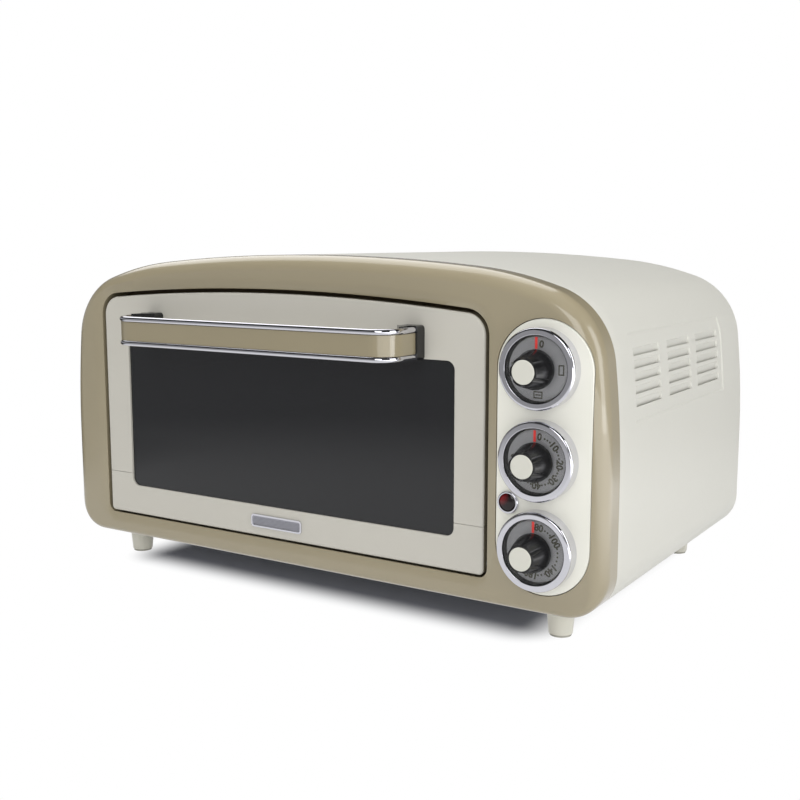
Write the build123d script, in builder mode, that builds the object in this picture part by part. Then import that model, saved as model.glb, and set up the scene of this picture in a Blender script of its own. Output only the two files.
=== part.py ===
from build123d import *
import os
from math import cos, radians, sin, sqrt

# Countertop electric oven: an arched sheet case behind a moulded bezel, a drop-down glass door
# with a strap handle on the left, and a column of three dials and a pilot lamp on the right.
# Millimetres, +Z up, front face towards -Y, origin at the bottom centre of the whole oven.
# A depth is measured back from the bezel's flat face, a height up from the worktop.

os.makedirs("parts", exist_ok=True)

# Case: overall outline of the arch, from the crown down to the base
case_width = 460.0
crown_height = 244.5
foot_height = 21.8
bezel_depth = 22.0
body_depth = 261.0
sheet = 0.8
brow_radius = 257.7
shoulder_radius = 53.4
flank_radius = 678.8
crown_turn = 5.43
brow_turn = 13.25
shoulder_turn = 64.61
base_corner_radius = 27.0

# Bezel: moulded front ring that carries the door opening and the control plate
bezel_wall = 3.0
bezel_edge_radius = 8.0
lip_wall = 2.5
bevel_width = 7.5
bevel_depth = 2.2
sill_gap = 1.5
sill_lip = 1.0
boss_radius = 3.2
upper_boss_reach = 90.0
lower_boss_reach = 130.0
side_boss_inset = 13.0

# Chassis plate behind the bezel
chassis = 1.0
chassis_gap = 0.2

# Case lips, rear panel and base
base_lip = 30.0
rear_lip = 12.0
vent_width = 3.5
vent_length = 34.0
vent_pitch = 9.0
base_vents = 12
rear_vents = 9
rear_screw_x = 90.0
rear_screw_low = 60.0

# Louvres pressed in both flanks
louvre_length = 47.0
louvre_height = 5.2
louvre_pitch = 62.3
louvre_rise = 8.1
louvre_columns = 3
louvre_rows = 5
louvre_depth = 139.5
louvre_above = 66.7
louvre_set = 3.2

# Feet
foot_inset = 41.0
foot_front = 30.5
foot_rear_inset = 22.0
foot_top_radius = 9.8
foot_tip_radius = 7.9
pad_height = 1.5

# Door outline, its crowned top and the gap to the bezel
door_inset = 37.1
door_post = 10.0
door_sill = 17.6
door_header = 27.2
door_crown_shift = -9.0
door_crown_radius = 1700.0
door_top_corner = 14.5
door_bottom_corner = 3.5
door_gap = 3.0
door_face = 2.0
door_skin = 1.5
door_depth = 11.0
door_edge_radius = 1.5
lower_rail_height = 32.3
seam_gap = 0.3

# Door glass and inner frame
glass_left_border = 24.7
glass_right_border = 21.7
glass_bottom_border = 22.8
glass_top_border = 39.3
glass_corner = 6.0
glass_cover = 5.0
glass_thickness = 4.0
inner_frame_rise = 11.6
inner_frame_gap = 1.0
inner_skin = 1.0
fit_gap = 0.3

# Door pivot
pivot_depth = 9.0
pivot_rise = 7.1
pin_radius = 2.5
pin_clearance = 0.05
pin_seat = 10.0
ear_thickness = 2.0
ear_gap = 0.5
ear_above = 7.5
ear_below = 18.5
ear_front = 5.0
bracket_foot_width = 15.0
bracket_foot_height = 12.0

# Badge plate
badge_rise = 11.4
badge_width = 46.0
badge_height = 9.5
badge_proud = 1.1
badge_rim = 1.2

# Handle: a strap between two rails on two end brackets
handle_inset = 23.3
handle_reach = 38.0
rail_height = 4.0
rail_depth = 4.6
rail_round = 1.5
strap_height = 13.5
strap_thickness = 3.4
strap_set = 0.9
handle_corner = 17.0
bracket_depth = 9.0
bracket_width = 15.5
bracket_overlap = 0.7
bracket_corner = 2.5
handle_screw_radius = 2.0

# Control plate, a stadium
plate_inset = 41.8
plate_width = 64.2
plate_sill = 12.7
plate_header = 36.7
plate_gap = 0.4
plate_face = 0.3
plate_skin = 2.5
plate_skirt = 2.0
plate_edge_radius = 0.5

# Dials, rings and knobs
dial_shift = 1.7
dial_drop = 0.5
dial_pitch = 56.85
ring_radius = 25.4
ring_bore = 20.7
ring_front = -9.3
ring_outer_round = 1.8
ring_inner_round = 0.6
dial_radius = 19.7
dial_front = -5.0
dial_skin = 1.0
dial_skirt = 1.2
pointer_radius = 20.2
pointer_front = -8.7
pointer_thickness = 1.0
knob_radius = 12.3
knob_tip_radius = 8.9
knob_front = -26.1
knob_rim = 2.8
knob_hub_radius = 7.0
knob_hub_length = 1.3
flute_count = 6
flute_radius = 3.0
flute_base_depth = 0.35
flute_tip_depth = 1.1
knob_edge_radius = 0.6
cap_radius = 7.4
cap_height = 1.4
cap_seat = 1.0
shaft_radius = 3.0
shaft_front = -21.0
shaft_rear = 31.5
shaft_clearance = 0.05
shaft_end_gap = 0.5
neck_radius = 4.8
neck_front = 14.0
neck_gap = 0.2

# Mechanisms behind the chassis plate
switch_size = 40.0
switch_depth = 24.0
switch_corner = 4.0
timer_size = 44.0
timer_corner = 5.5
timer_depth = 30.0
bell_radius = 18.0
bell_depth = 9.0
bell_skin = 1.0
bell_post_radius = 2.5
bell_post_length = 4.0
bell_slope = 30.0
thermostat_radius = 18.0
thermostat_depth = 19.0
tab_width = 6.3
tab_length = 8.0
tab_spread = 12.0

# Pilot lamp
lamp_shift = 21.5
lamp_drop = 29.35
lamp_ring_radius = 7.2
lamp_radius = 5.9
lamp_barrel_radius = 6.5
lamp_front = -1.8
lamp_edge_radius = 0.7
lens_set = 0.4
lamp_barrel_rear = 10.0
lamp_gap = 0.15
lamp_holder_rear = 34.0
lamp_flange_radius = 7.6
lamp_flange = 1.5

# Oven cavity and what it holds
cavity_side_inset = 11.0
cavity_floor_rise = 16.6
cavity_top_inset = 17.3
cavity_rear_inset = 15.0
cavity_corner = 10.0
cavity_flange = 8.0
runner_rises = (25.0, 58.0, 94.0)
runner_reach = 6.0
runner_height = 3.0
runner_front = 31.0
runner_rear_inset = 6.0
shield_gap = 16.0
shield_header = 18.5
shield_flange = 12.0

# Heating elements
element_radius = 3.3
element_depths = (85.0, 205.0)
upper_element_drop = 11.0
lower_element_rise = 6.5
element_overhang = 9.0
stud_radius = 1.6
stud_length = 4.5
insulator_radius = 5.4
insulator_collar = 7.0
insulator_inner = 3.0
insulator_outer = 6.0

# Thermostat bulb and its capillary tube
bulb_radius = 3.0
bulb_front = 120.0
bulb_length = 90.0
bulb_drop = 32.0
capillary_radius = 1.0
capillary_bend = 3.0
capillary_hole = 1.4

# Wire rack and baking tray
slide_gap = 2.5
lift_gap = 0.3
frame_wire = 2.3
cross_wire = 1.2
rack_bars = 15
bar_overrun = 0.4
rack_front = 25.0
rack_rear_gap = 11.0
tray_front = 25.0
tray_rear_gap = 18.0
tray_drop = 12.0
tray_slope = 8.0
tray_sheet = 1.0
tray_rim = 7.0
tray_corner = 12.0

# Cable gland, terminal block and wires
gland_rise = 40.2
gland_radius = 8.0
gland_bore = 3.6
gland_flange_radius = 11.0
gland_flange = 2.2
gland_reach = 8.2
gland_inside = 9.0
block_length = 36.0
block_height = 14.0
block_depth = 18.0
wire_radius = 1.3
wire_bend = 12.0

# Screws
screw_radius = 1.5
screw_head_radius = 3.1
screw_head = 1.8
screw_length = 6.0
screw_gap = 0.2

# Derived places
half_width = case_width / 2
flank_turn = 90.0 - crown_turn - brow_turn - shoulder_turn
rear_depth = bezel_depth + body_depth
rear_reach = rear_depth + gland_reach
face_y = (handle_reach - rear_reach) / 2
inside = bezel_depth + chassis
base_floor = foot_height + 2 * sheet
foot_x = half_width - foot_inset
foot_rear = rear_depth - foot_rear_inset
plate_x = half_width - plate_inset
plate_bottom = foot_height + plate_sill
plate_top = crown_height - plate_header
dial_x = plate_x - dial_shift
dial_middle = (plate_bottom + plate_top) / 2 - dial_drop
dial_heights = {
    "function": dial_middle + dial_pitch,
    "timer": dial_middle,
    "thermostat": dial_middle - dial_pitch,
}
lamp_x = dial_x - lamp_shift
lamp_z = dial_middle - lamp_drop
gland_x = plate_x
gland_z = foot_height + gland_rise
door_left = door_inset - half_width
door_right = plate_x - plate_width / 2 - door_post
door_middle = (door_left + door_right) / 2
door_bottom = foot_height + door_sill
door_crown_x = door_middle + door_crown_shift
door_crown_z = crown_height - door_header
seam_height = door_bottom + lower_rail_height
glass_left = door_left + glass_left_border
glass_right = door_right - glass_right_border
glass_bottom = door_bottom + glass_bottom_border
glass_top = door_crown_z - glass_top_border
pivot_height = door_bottom + pivot_rise
ear_top = pivot_height + ear_above
ear_bottom = pivot_height - ear_below
inner_frame_bottom = door_bottom + inner_frame_rise
inner_frame_back = bezel_depth - inner_frame_gap
badge_z = door_bottom + badge_rise
handle_bottom = glass_top
handle_middle = (glass_left + glass_right) / 2
handle_half = (glass_right - glass_left) / 2 - handle_inset
handle_top = handle_bottom + 2 * rail_height + strap_height
cavity_left = door_left + cavity_side_inset
cavity_right = door_right - cavity_side_inset
cavity_bottom = door_bottom + cavity_floor_rise
cavity_top = door_crown_z - cavity_top_inset
cavity_back = rear_depth - cavity_rear_inset
runner_heights = [cavity_bottom + rise for rise in runner_rises]
runner_back = cavity_back - runner_rear_inset
shield_x = cavity_right + shield_gap
shield_top = crown_height - shield_header
element_upper = cavity_top - upper_element_drop
element_lower = cavity_bottom + lower_element_rise
bulb_height = cavity_top - bulb_drop
rack_length = cavity_back - rack_front - rack_rear_gap
tray_length = cavity_back - tray_front - tray_rear_gap
crown_end = radians(crown_turn)
brow_end = crown_end + radians(brow_turn)
shoulder_end = brow_end + radians(shoulder_turn)
crown_radius = (
    half_width
    - brow_radius * (sin(brow_end) - sin(crown_end))
    - shoulder_radius * (sin(shoulder_end) - sin(brow_end))
    - flank_radius * (1 - sin(shoulder_end))
) / sin(crown_end)
flank_foot = crown_height - (
    crown_radius * (1 - cos(crown_end))
    + brow_radius * (cos(crown_end) - cos(brow_end))
    + shoulder_radius * (cos(brow_end) - cos(shoulder_end))
    + flank_radius * cos(shoulder_end)
)
louvre_middle = flank_foot + louvre_above


def at_depth(depth):
    """Sketch plane parallel to the bezel's face, `depth` behind it; local x, y are X, Z."""
    return Plane.XZ.offset(-(face_y + depth))


def at_height(height):
    """Sketch plane level with the worktop; local x, y are X, Y."""
    return Plane.XY.offset(height)


def arch(inset=0.0, mode=Mode.ADD):
    """The case's outline from the front, drawn `inset` inside its outer surface."""
    with BuildSketch() as outline:
        with BuildLine():
            crown = JernArc((0, crown_height - inset), (1, 0), crown_radius - inset, -crown_turn)
            brow = JernArc(crown @ 1, crown % 1, brow_radius - inset, -brow_turn)
            shoulder = JernArc(brow @ 1, brow % 1, shoulder_radius - inset, -shoulder_turn)
            flank = JernArc(shoulder @ 1, shoulder % 1, flank_radius - inset, -flank_turn)
            side = Line(flank @ 1, (half_width - inset, foot_height + base_corner_radius))
            corner = JernArc(side @ 1, (0, -1), base_corner_radius - inset, -90)
            Line(corner @ 1, (0, foot_height + inset))
            mirror(about=Plane.YZ)
        make_face()
    add(outline.sketch, mode=mode)


def crown_at(x, inset=0.0):
    """Height of the case's crown at `x`, `inset` below its outer surface."""
    return crown_height - crown_radius + sqrt((crown_radius - inset) ** 2 - x**2)


def flank_at(height):
    """Half width of the case at `height` on its flank."""
    return half_width - flank_radius + sqrt(flank_radius**2 - (height - flank_foot) ** 2)


def door_top(x, inset=0.0):
    """Height of the door's crowned top edge at `x`."""
    reach = (door_crown_radius - inset) ** 2 - (x - door_crown_x) ** 2
    return door_crown_z - door_crown_radius + sqrt(reach)


def door_outline(inset=0.0, bottom=None, mode=Mode.ADD):
    """The door's outline from the front, `inset` inside its edge, from `bottom` up."""
    left = door_left + inset
    right = door_right - inset
    low = door_bottom + inset if bottom is None else bottom
    middle = (left + right) / 2
    with BuildSketch() as outline:
        with BuildLine():
            top_left = (left, door_top(left, inset))
            top_right = (right, door_top(right, inset))
            Polyline(top_left, (left, low), (right, low), top_right)
            ThreePointArc(top_right, (middle, door_top(middle, inset)), top_left)
        make_face()
        fillet(vertices().sort_by(Axis.Y)[-2:], door_top_corner - inset)
        fillet(vertices().sort_by(Axis.Y)[:2], door_bottom_corner - min(inset, 0.0))
    add(outline.sketch, mode=mode)


def window(grow=0.0, mode=Mode.ADD):
    """The glass opening, `grow` larger all round."""
    with Locations(((glass_left + glass_right) / 2, (glass_bottom + glass_top) / 2)):
        RectangleRounded(
            glass_right - glass_left + 2 * grow,
            glass_top - glass_bottom + 2 * grow,
            glass_corner + grow,
            mode=mode,
        )


def control_opening(grow=0.0, mode=Mode.ADD):
    """The control plate's stadium, `grow` larger all round."""
    with Locations((plate_x, (plate_bottom + plate_top) / 2)):
        SlotOverall(
            plate_top - plate_bottom + 2 * grow, plate_width + 2 * grow, rotation=90, mode=mode
        )


def cavity_rectangle(grow=0.0, mode=Mode.ADD):
    """The cavity's inside from the front, `grow` larger all round."""
    with Locations(((cavity_left + cavity_right) / 2, (cavity_bottom + cavity_top) / 2)):
        RectangleRounded(
            cavity_right - cavity_left + 2 * grow,
            cavity_top - cavity_bottom + 2 * grow,
            cavity_corner + grow,
            mode=mode,
        )


def on_side(x):
    """Sketch plane square to the X axis; local x, y are Y, Z."""
    return Plane.YZ.offset(x)


# Front bezel: glossy moulding, hollow behind, with a lip around the door and six screw bosses
boss_points = [
    (x, (crown_at(x, bezel_wall) + door_top(x, -door_gap - lip_wall)) / 2)
    for x in (door_middle - upper_boss_reach, door_middle + upper_boss_reach)
]
boss_points += [(plate_x - side_boss_inset, plate_top + 2 * boss_radius)]
boss_points += [
    (x, (foot_height + bezel_wall + door_bottom - door_gap - lip_wall) / 2)
    for x in (door_middle - lower_boss_reach, door_middle, door_middle + lower_boss_reach)
]

with BuildPart() as bezel_core:
    with BuildSketch(at_depth(bezel_wall)):
        arch(bezel_wall)
    extrude(amount=-bezel_depth)
    core_rim = edges().filter_by_position(Axis.Y, face_y + bezel_wall, face_y + bezel_wall)
    fillet(core_rim, bezel_edge_radius - bezel_wall)

with BuildPart() as front_bezel:
    with BuildSketch(at_depth(0)):
        arch()
    extrude(amount=-bezel_depth)
    fillet(edges().filter_by_position(Axis.Y, face_y, face_y), bezel_edge_radius)
    add(bezel_core.part, mode=Mode.SUBTRACT)
    with BuildSketch(at_depth(bezel_wall / 2)):
        door_outline(-door_gap - lip_wall)
    extrude(amount=-(bezel_depth - bezel_wall / 2))
    with BuildSketch(at_depth(bezel_wall / 2)):
        with Locations(*boss_points):
            Circle(boss_radius)
    extrude(amount=-(bezel_depth - bezel_wall / 2))
    with BuildSketch(at_depth(0)):
        door_outline(-door_gap, bottom=door_bottom - sill_gap)
        control_opening(plate_gap)
    extrude(amount=-bezel_depth, mode=Mode.SUBTRACT)
    with BuildSketch(at_depth(bevel_depth + sill_lip)):
        door_outline(-door_gap)
    extrude(amount=-bezel_depth, mode=Mode.SUBTRACT)
    with BuildSketch(at_depth(bezel_depth)):
        with Locations(*boss_points):
            Circle(screw_radius)
    extrude(amount=screw_length, mode=Mode.SUBTRACT)
    with BuildSketch(on_side(door_left - 2 * lip_wall - door_gap)):
        with Locations((face_y + pivot_depth, pivot_height)):
            Circle(pin_radius + ear_gap)
    extrude(amount=door_right - door_left + 4 * lip_wall + 2 * door_gap, mode=Mode.SUBTRACT)
    with BuildSketch(at_depth(0)):
        door_outline(-door_gap - bevel_width, bottom=door_bottom - sill_gap - bevel_width)
    with BuildSketch(at_depth(bevel_depth)):
        door_outline(-door_gap, bottom=door_bottom - sill_gap)
    loft(ruled=True, mode=Mode.SUBTRACT)
front_bezel.part.label = "front_bezel"

# Body wrap: one painted sheet over flanks and top, lips turned under and at the back, louvred
rear_screw_points = [
    (side * (half_width - rear_lip / 2), height)
    for side in (-1, 1)
    for height in (rear_screw_low, flank_foot)
]
rear_screw_points += [
    (side * rear_screw_x, height)
    for side in (-1, 1)
    for height in (crown_at(rear_screw_x, rear_lip / 2), foot_height + rear_lip / 2)
]
with BuildPart() as body_wrap:
    with BuildSketch(at_depth(bezel_depth)):
        arch()
        arch(sheet, mode=Mode.SUBTRACT)
    extrude(amount=-(body_depth - sheet))
    with BuildSketch(at_depth(rear_depth - 2 * sheet)):
        arch()
        arch(rear_lip, mode=Mode.SUBTRACT)
        with Locations(*rear_screw_points):
            Circle(screw_radius, mode=Mode.SUBTRACT)
    extrude(amount=-sheet)
    with BuildSketch(at_height(foot_height)):
        with Locations((0, face_y + bezel_depth + body_depth / 2 - rear_lip)):
            Rectangle(2 * (half_width - base_corner_radius - base_lip), body_depth)
    extrude(amount=sheet, mode=Mode.SUBTRACT)
    with BuildSketch(on_side(-half_width)):
        with Locations((face_y + louvre_depth, louvre_middle)):
            with GridLocations(louvre_pitch, louvre_rise, louvre_columns, louvre_rows):
                RectangleRounded(louvre_length, louvre_height, louvre_height / 4)
    extrude(amount=case_width, mode=Mode.SUBTRACT)
    for row in range(louvre_rows):
        row_height = louvre_middle + (row - (louvre_rows - 1) / 2) * louvre_rise
        blade_top = row_height + louvre_height / 2
        blade_low = row_height - louvre_height / 2 + sheet / 4
        blade_x = flank_at(blade_top)
        for column in range(louvre_columns):
            blade_centre = louvre_depth + (column - (louvre_columns - 1) / 2) * louvre_pitch
            with BuildSketch(at_depth(blade_centre - louvre_length / 2)):
                with BuildLine():
                    Polyline(
                        (blade_x - sheet / 8, blade_top + sheet / 2),
                        (blade_x - sheet, blade_top + sheet / 2),
                        (blade_x - sheet - louvre_set, blade_low),
                        (blade_x - louvre_set, blade_low),
                        close=True,
                    )
                blade = make_face()
                mirror(blade, about=Plane.YZ)
            extrude(amount=-louvre_length)
    with BuildSketch(at_height(foot_height)):
        with Locations((0, face_y + (foot_front + foot_rear) / 2)):
            with GridLocations(2 * foot_x, foot_rear - foot_front, 2, 2):
                Circle(screw_radius + screw_gap)
            with GridLocations(2 * foot_x, (foot_rear - foot_front) / 3, 2, 2):
                Circle(screw_radius + screw_gap)
    extrude(amount=sheet, mode=Mode.SUBTRACT)
body_wrap.part.label = "body_wrap"

# Rear panel: flat painted sheet with two banks of slots and the cable hole
with BuildPart() as rear_panel:
    with BuildSketch(at_depth(rear_depth - sheet)):
        arch()
        with Locations(*rear_screw_points):
            Circle(screw_radius + screw_gap, mode=Mode.SUBTRACT)
        with Locations((gland_x, gland_z)):
            Circle(gland_radius, mode=Mode.SUBTRACT)
        for bank_x in (cavity_left / 2, cavity_right / 2):
            with Locations((bank_x, cavity_top - vent_length)):
                with GridLocations(vent_pitch, 0, rear_vents, 1):
                    SlotOverall(vent_length, vent_width, rotation=90, mode=Mode.SUBTRACT)
        with Locations((dial_x, cavity_top - vent_length)):
            with GridLocations(vent_pitch, 0, rear_vents // 2, 1):
                SlotOverall(vent_length, vent_width, rotation=90, mode=Mode.SUBTRACT)
    extrude(amount=-sheet)
rear_panel.part.label = "rear_panel"

# Chassis plate: steel front wall of the case, open for the cavity, shafts and lamp
with BuildPart() as front_plate:
    with BuildSketch(at_depth(bezel_depth)):
        arch(sheet + chassis_gap)
        cavity_rectangle(mode=Mode.SUBTRACT)
        with Locations(*[(dial_x, height) for height in dial_heights.values()]):
            Circle(neck_radius + neck_gap, mode=Mode.SUBTRACT)
        with Locations((lamp_x, lamp_z)):
            Circle(lamp_barrel_radius + lamp_gap, mode=Mode.SUBTRACT)
        with Locations(*boss_points):
            Circle(screw_radius + screw_gap, mode=Mode.SUBTRACT)
    extrude(amount=-chassis)
front_plate.part.label = "front_plate"

# Base plate: flat sheet resting on the wrap's lower lips, slotted for air under the cavity
with BuildPart() as base_plate:
    with BuildSketch(at_height(foot_height + sheet)):
        base_middle = (inside + rear_depth - 2 * sheet) / 2
        with Locations((0, face_y + base_middle)):
            Rectangle(2 * (half_width - base_corner_radius), rear_depth - 2 * sheet - inside)
        with Locations(((cavity_left + cavity_right) / 2, face_y + base_middle)):
            with GridLocations(vent_pitch, body_depth / 3, base_vents, 2):
                SlotOverall(vent_length, vent_width, rotation=90, mode=Mode.SUBTRACT)
        with Locations((0, face_y + (foot_front + foot_rear) / 2)):
            with GridLocations(2 * foot_x, foot_rear - foot_front, 2, 2):
                Circle(screw_radius + screw_gap, mode=Mode.SUBTRACT)
            with GridLocations(2 * foot_x, (foot_rear - foot_front) / 3, 2, 2):
                Circle(screw_radius, mode=Mode.SUBTRACT)
    extrude(amount=sheet)
base_plate.part.label = "base_plate"

# Feet: four tapered mouldings, each with a rubber pad and a screw from inside the base
with BuildPart() as feet:
    with Locations((0, face_y + (foot_front + foot_rear) / 2, (pad_height + foot_height) / 2)):
        with GridLocations(2 * foot_x, foot_rear - foot_front, 2, 2):
            Cone(foot_tip_radius, foot_top_radius, foot_height - pad_height)
    with BuildSketch(at_height(foot_height)):
        with Locations((0, face_y + (foot_front + foot_rear) / 2)):
            with GridLocations(2 * foot_x, foot_rear - foot_front, 2, 2):
                Circle(screw_radius)
    extrude(amount=-screw_length, mode=Mode.SUBTRACT)
feet.part.label = "feet"

with BuildPart() as foot_pads:
    with BuildSketch(at_height(0)):
        with Locations((0, face_y + (foot_front + foot_rear) / 2)):
            with GridLocations(2 * foot_x, foot_rear - foot_front, 2, 2):
                Circle(foot_tip_radius - pad_height / 2)
    extrude(amount=pad_height)
foot_pads.part.label = "foot_pads"

with BuildPart() as foot_screws:
    with BuildSketch(at_height(base_floor)):
        with Locations((0, face_y + (foot_front + foot_rear) / 2)):
            with GridLocations(2 * foot_x, foot_rear - foot_front, 2, 2):
                Circle(screw_head_radius)
    extrude(amount=screw_head)
    with BuildSketch(at_height(base_floor)):
        with Locations((0, face_y + (foot_front + foot_rear) / 2)):
            with GridLocations(2 * foot_x, foot_rear - foot_front, 2, 2):
                Circle(screw_radius)
    extrude(amount=-(2 * sheet + screw_length))
foot_screws.part.label = "foot_screws"

# Case screws: eight in the rear panel, four up through the wrap's lips into the base
with BuildPart() as case_screws:
    with BuildSketch(at_depth(rear_depth)):
        with Locations(*rear_screw_points):
            Circle(screw_head_radius)
    extrude(amount=-screw_head)
    with BuildSketch(at_depth(rear_depth)):
        with Locations(*rear_screw_points):
            Circle(screw_radius)
    extrude(amount=screw_length)
    with BuildSketch(at_height(foot_height)):
        with Locations((0, face_y + (foot_front + foot_rear) / 2)):
            with GridLocations(2 * foot_x, (foot_rear - foot_front) / 3, 2, 2):
                Circle(screw_head_radius)
    extrude(amount=-screw_head)
    with BuildSketch(at_height(foot_height)):
        with Locations((0, face_y + (foot_front + foot_rear) / 2)):
            with GridLocations(2 * foot_x, (foot_rear - foot_front) / 3, 2, 2):
                Circle(screw_radius)
    extrude(amount=screw_length)
case_screws.part.label = "case_screws"

# Bezel screws: from inside the case, through the chassis plate, into the bosses
with BuildPart() as bezel_screws:
    with BuildSketch(at_depth(inside)):
        with Locations(*boss_points):
            Circle(screw_head_radius)
    extrude(amount=-screw_head)
    with BuildSketch(at_depth(inside)):
        with Locations(*boss_points):
            Circle(screw_radius)
    extrude(amount=chassis + screw_length)
bezel_screws.part.label = "bezel_screws"

# Cavity liner: aluminised box with pressed runners, flanged against the chassis plate
with BuildPart() as cavity_liner:
    with BuildSketch(at_depth(inside)):
        cavity_rectangle(cavity_flange)
    extrude(amount=-sheet)
    with BuildSketch(at_depth(inside)):
        cavity_rectangle(sheet)
    extrude(amount=-(cavity_back - inside + sheet))
    with BuildSketch(at_depth(inside)):
        cavity_rectangle()
    extrude(amount=-(cavity_back - inside), mode=Mode.SUBTRACT)
    for height in runner_heights:
        for wall_x, turn in ((cavity_left, 1), (cavity_right, -1)):
            with BuildSketch(at_depth(runner_front)):
                with BuildLine():
                    Polyline(
                        (wall_x - turn * sheet / 2, height - runner_height),
                        (wall_x + turn * runner_reach, height),
                        (wall_x + turn * runner_reach, height + runner_height),
                        (wall_x - turn * sheet / 2, height + runner_height),
                        close=True,
                    )
                make_face()
            extrude(amount=-(runner_back - runner_front))
    with BuildSketch(on_side(cavity_left - 2 * sheet)):
        for height in (element_upper, element_lower):
            with Locations(*[(face_y + depth, height) for depth in element_depths]):
                Circle(insulator_radius)
    extrude(amount=cavity_right - cavity_left + 4 * sheet, mode=Mode.SUBTRACT)
    with BuildSketch(on_side(cavity_right - sheet)):
        with Locations((face_y + bulb_front - 2 * capillary_bend, bulb_height)):
            Circle(capillary_hole)
    extrude(amount=3 * sheet, mode=Mode.SUBTRACT)
cavity_liner.part.label = "cavity_liner"

# Heat shield: wall between the hot cavity and the control compartment
with BuildPart() as heat_shield:
    with BuildSketch(at_depth(inside)):
        with BuildLine():
            Polyline(
                (shield_x, base_floor),
                (shield_x + shield_flange, base_floor),
                (shield_x + shield_flange, base_floor + sheet),
                (shield_x + sheet, base_floor + sheet),
                (shield_x + sheet, shield_top),
                (shield_x, shield_top),
                close=True,
            )
        make_face()
    extrude(amount=-(cavity_back - inside))
    with BuildSketch(on_side(shield_x - sheet)):
        with Locations((face_y + bulb_front - 2 * capillary_bend, bulb_height)):
            Circle(capillary_hole)
    extrude(amount=3 * sheet, mode=Mode.SUBTRACT)
heat_shield.part.label = "heat_shield"


def element_pair(height):
    """Two sheathed rods across the cavity at `height`, with a terminal stud at each end."""
    start = cavity_left - element_overhang
    length = cavity_right - cavity_left + 2 * element_overhang
    places = [(face_y + depth, height) for depth in element_depths]
    with BuildSketch(on_side(start)) as rods:
        with Locations(*places):
            Circle(element_radius)
    extrude(rods.sketch, amount=length)
    with BuildSketch(on_side(start - stud_length)) as studs:
        with Locations(*places):
            Circle(stud_radius)
    extrude(studs.sketch, amount=length + 2 * stud_length)


with BuildPart() as upper_elements:
    element_pair(element_upper)
upper_elements.part.label = "upper_elements"

with BuildPart() as lower_elements:
    element_pair(element_lower)
lower_elements.part.label = "lower_elements"

# Element insulators: ceramic bushes in the liner's side walls, collared on the outside
with BuildPart() as element_insulators:
    for wall_x, turn in ((cavity_left, -1), (cavity_right, 1)):
        for height in (element_upper, element_lower):
            for depth in element_depths:
                with BuildSketch(on_side(wall_x - turn * insulator_inner)):
                    with Locations((face_y + depth, height)):
                        Circle(insulator_radius)
                extrude(amount=turn * (insulator_inner + sheet + insulator_outer))
                with BuildSketch(on_side(wall_x + turn * sheet)):
                    with Locations((face_y + depth, height)):
                        Circle(insulator_collar)
                extrude(amount=turn * insulator_outer / 2)
                with BuildSketch(on_side(wall_x - turn * insulator_inner)):
                    with Locations((face_y + depth, height)):
                        Circle(element_radius)
                extrude(
                    amount=turn * (insulator_inner + sheet + insulator_outer), mode=Mode.SUBTRACT
                )
element_insulators.part.label = "element_insulators"

# Control plate: cream stadium moulding whose skirt stands on the chassis plate
with BuildPart() as control_plate:
    with BuildSketch(at_depth(plate_face)):
        control_opening()
    extrude(amount=-(bezel_depth - plate_face))
    plate_rim = edges().filter_by_position(Axis.Y, face_y + plate_face, face_y + plate_face)
    fillet(plate_rim, plate_edge_radius)
    with BuildSketch(at_depth(plate_face + plate_skin)):
        control_opening(-plate_skirt)
    extrude(amount=-bezel_depth, mode=Mode.SUBTRACT)
    with BuildSketch(at_depth(plate_face)):
        with Locations(*[(dial_x, height) for height in dial_heights.values()]):
            Circle(neck_radius + neck_gap)
        with Locations((lamp_x, lamp_z)):
            Circle(lamp_barrel_radius + lamp_gap)
    extrude(amount=-2 * plate_skin, mode=Mode.SUBTRACT)
control_plate.part.label = "control_plate"

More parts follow.
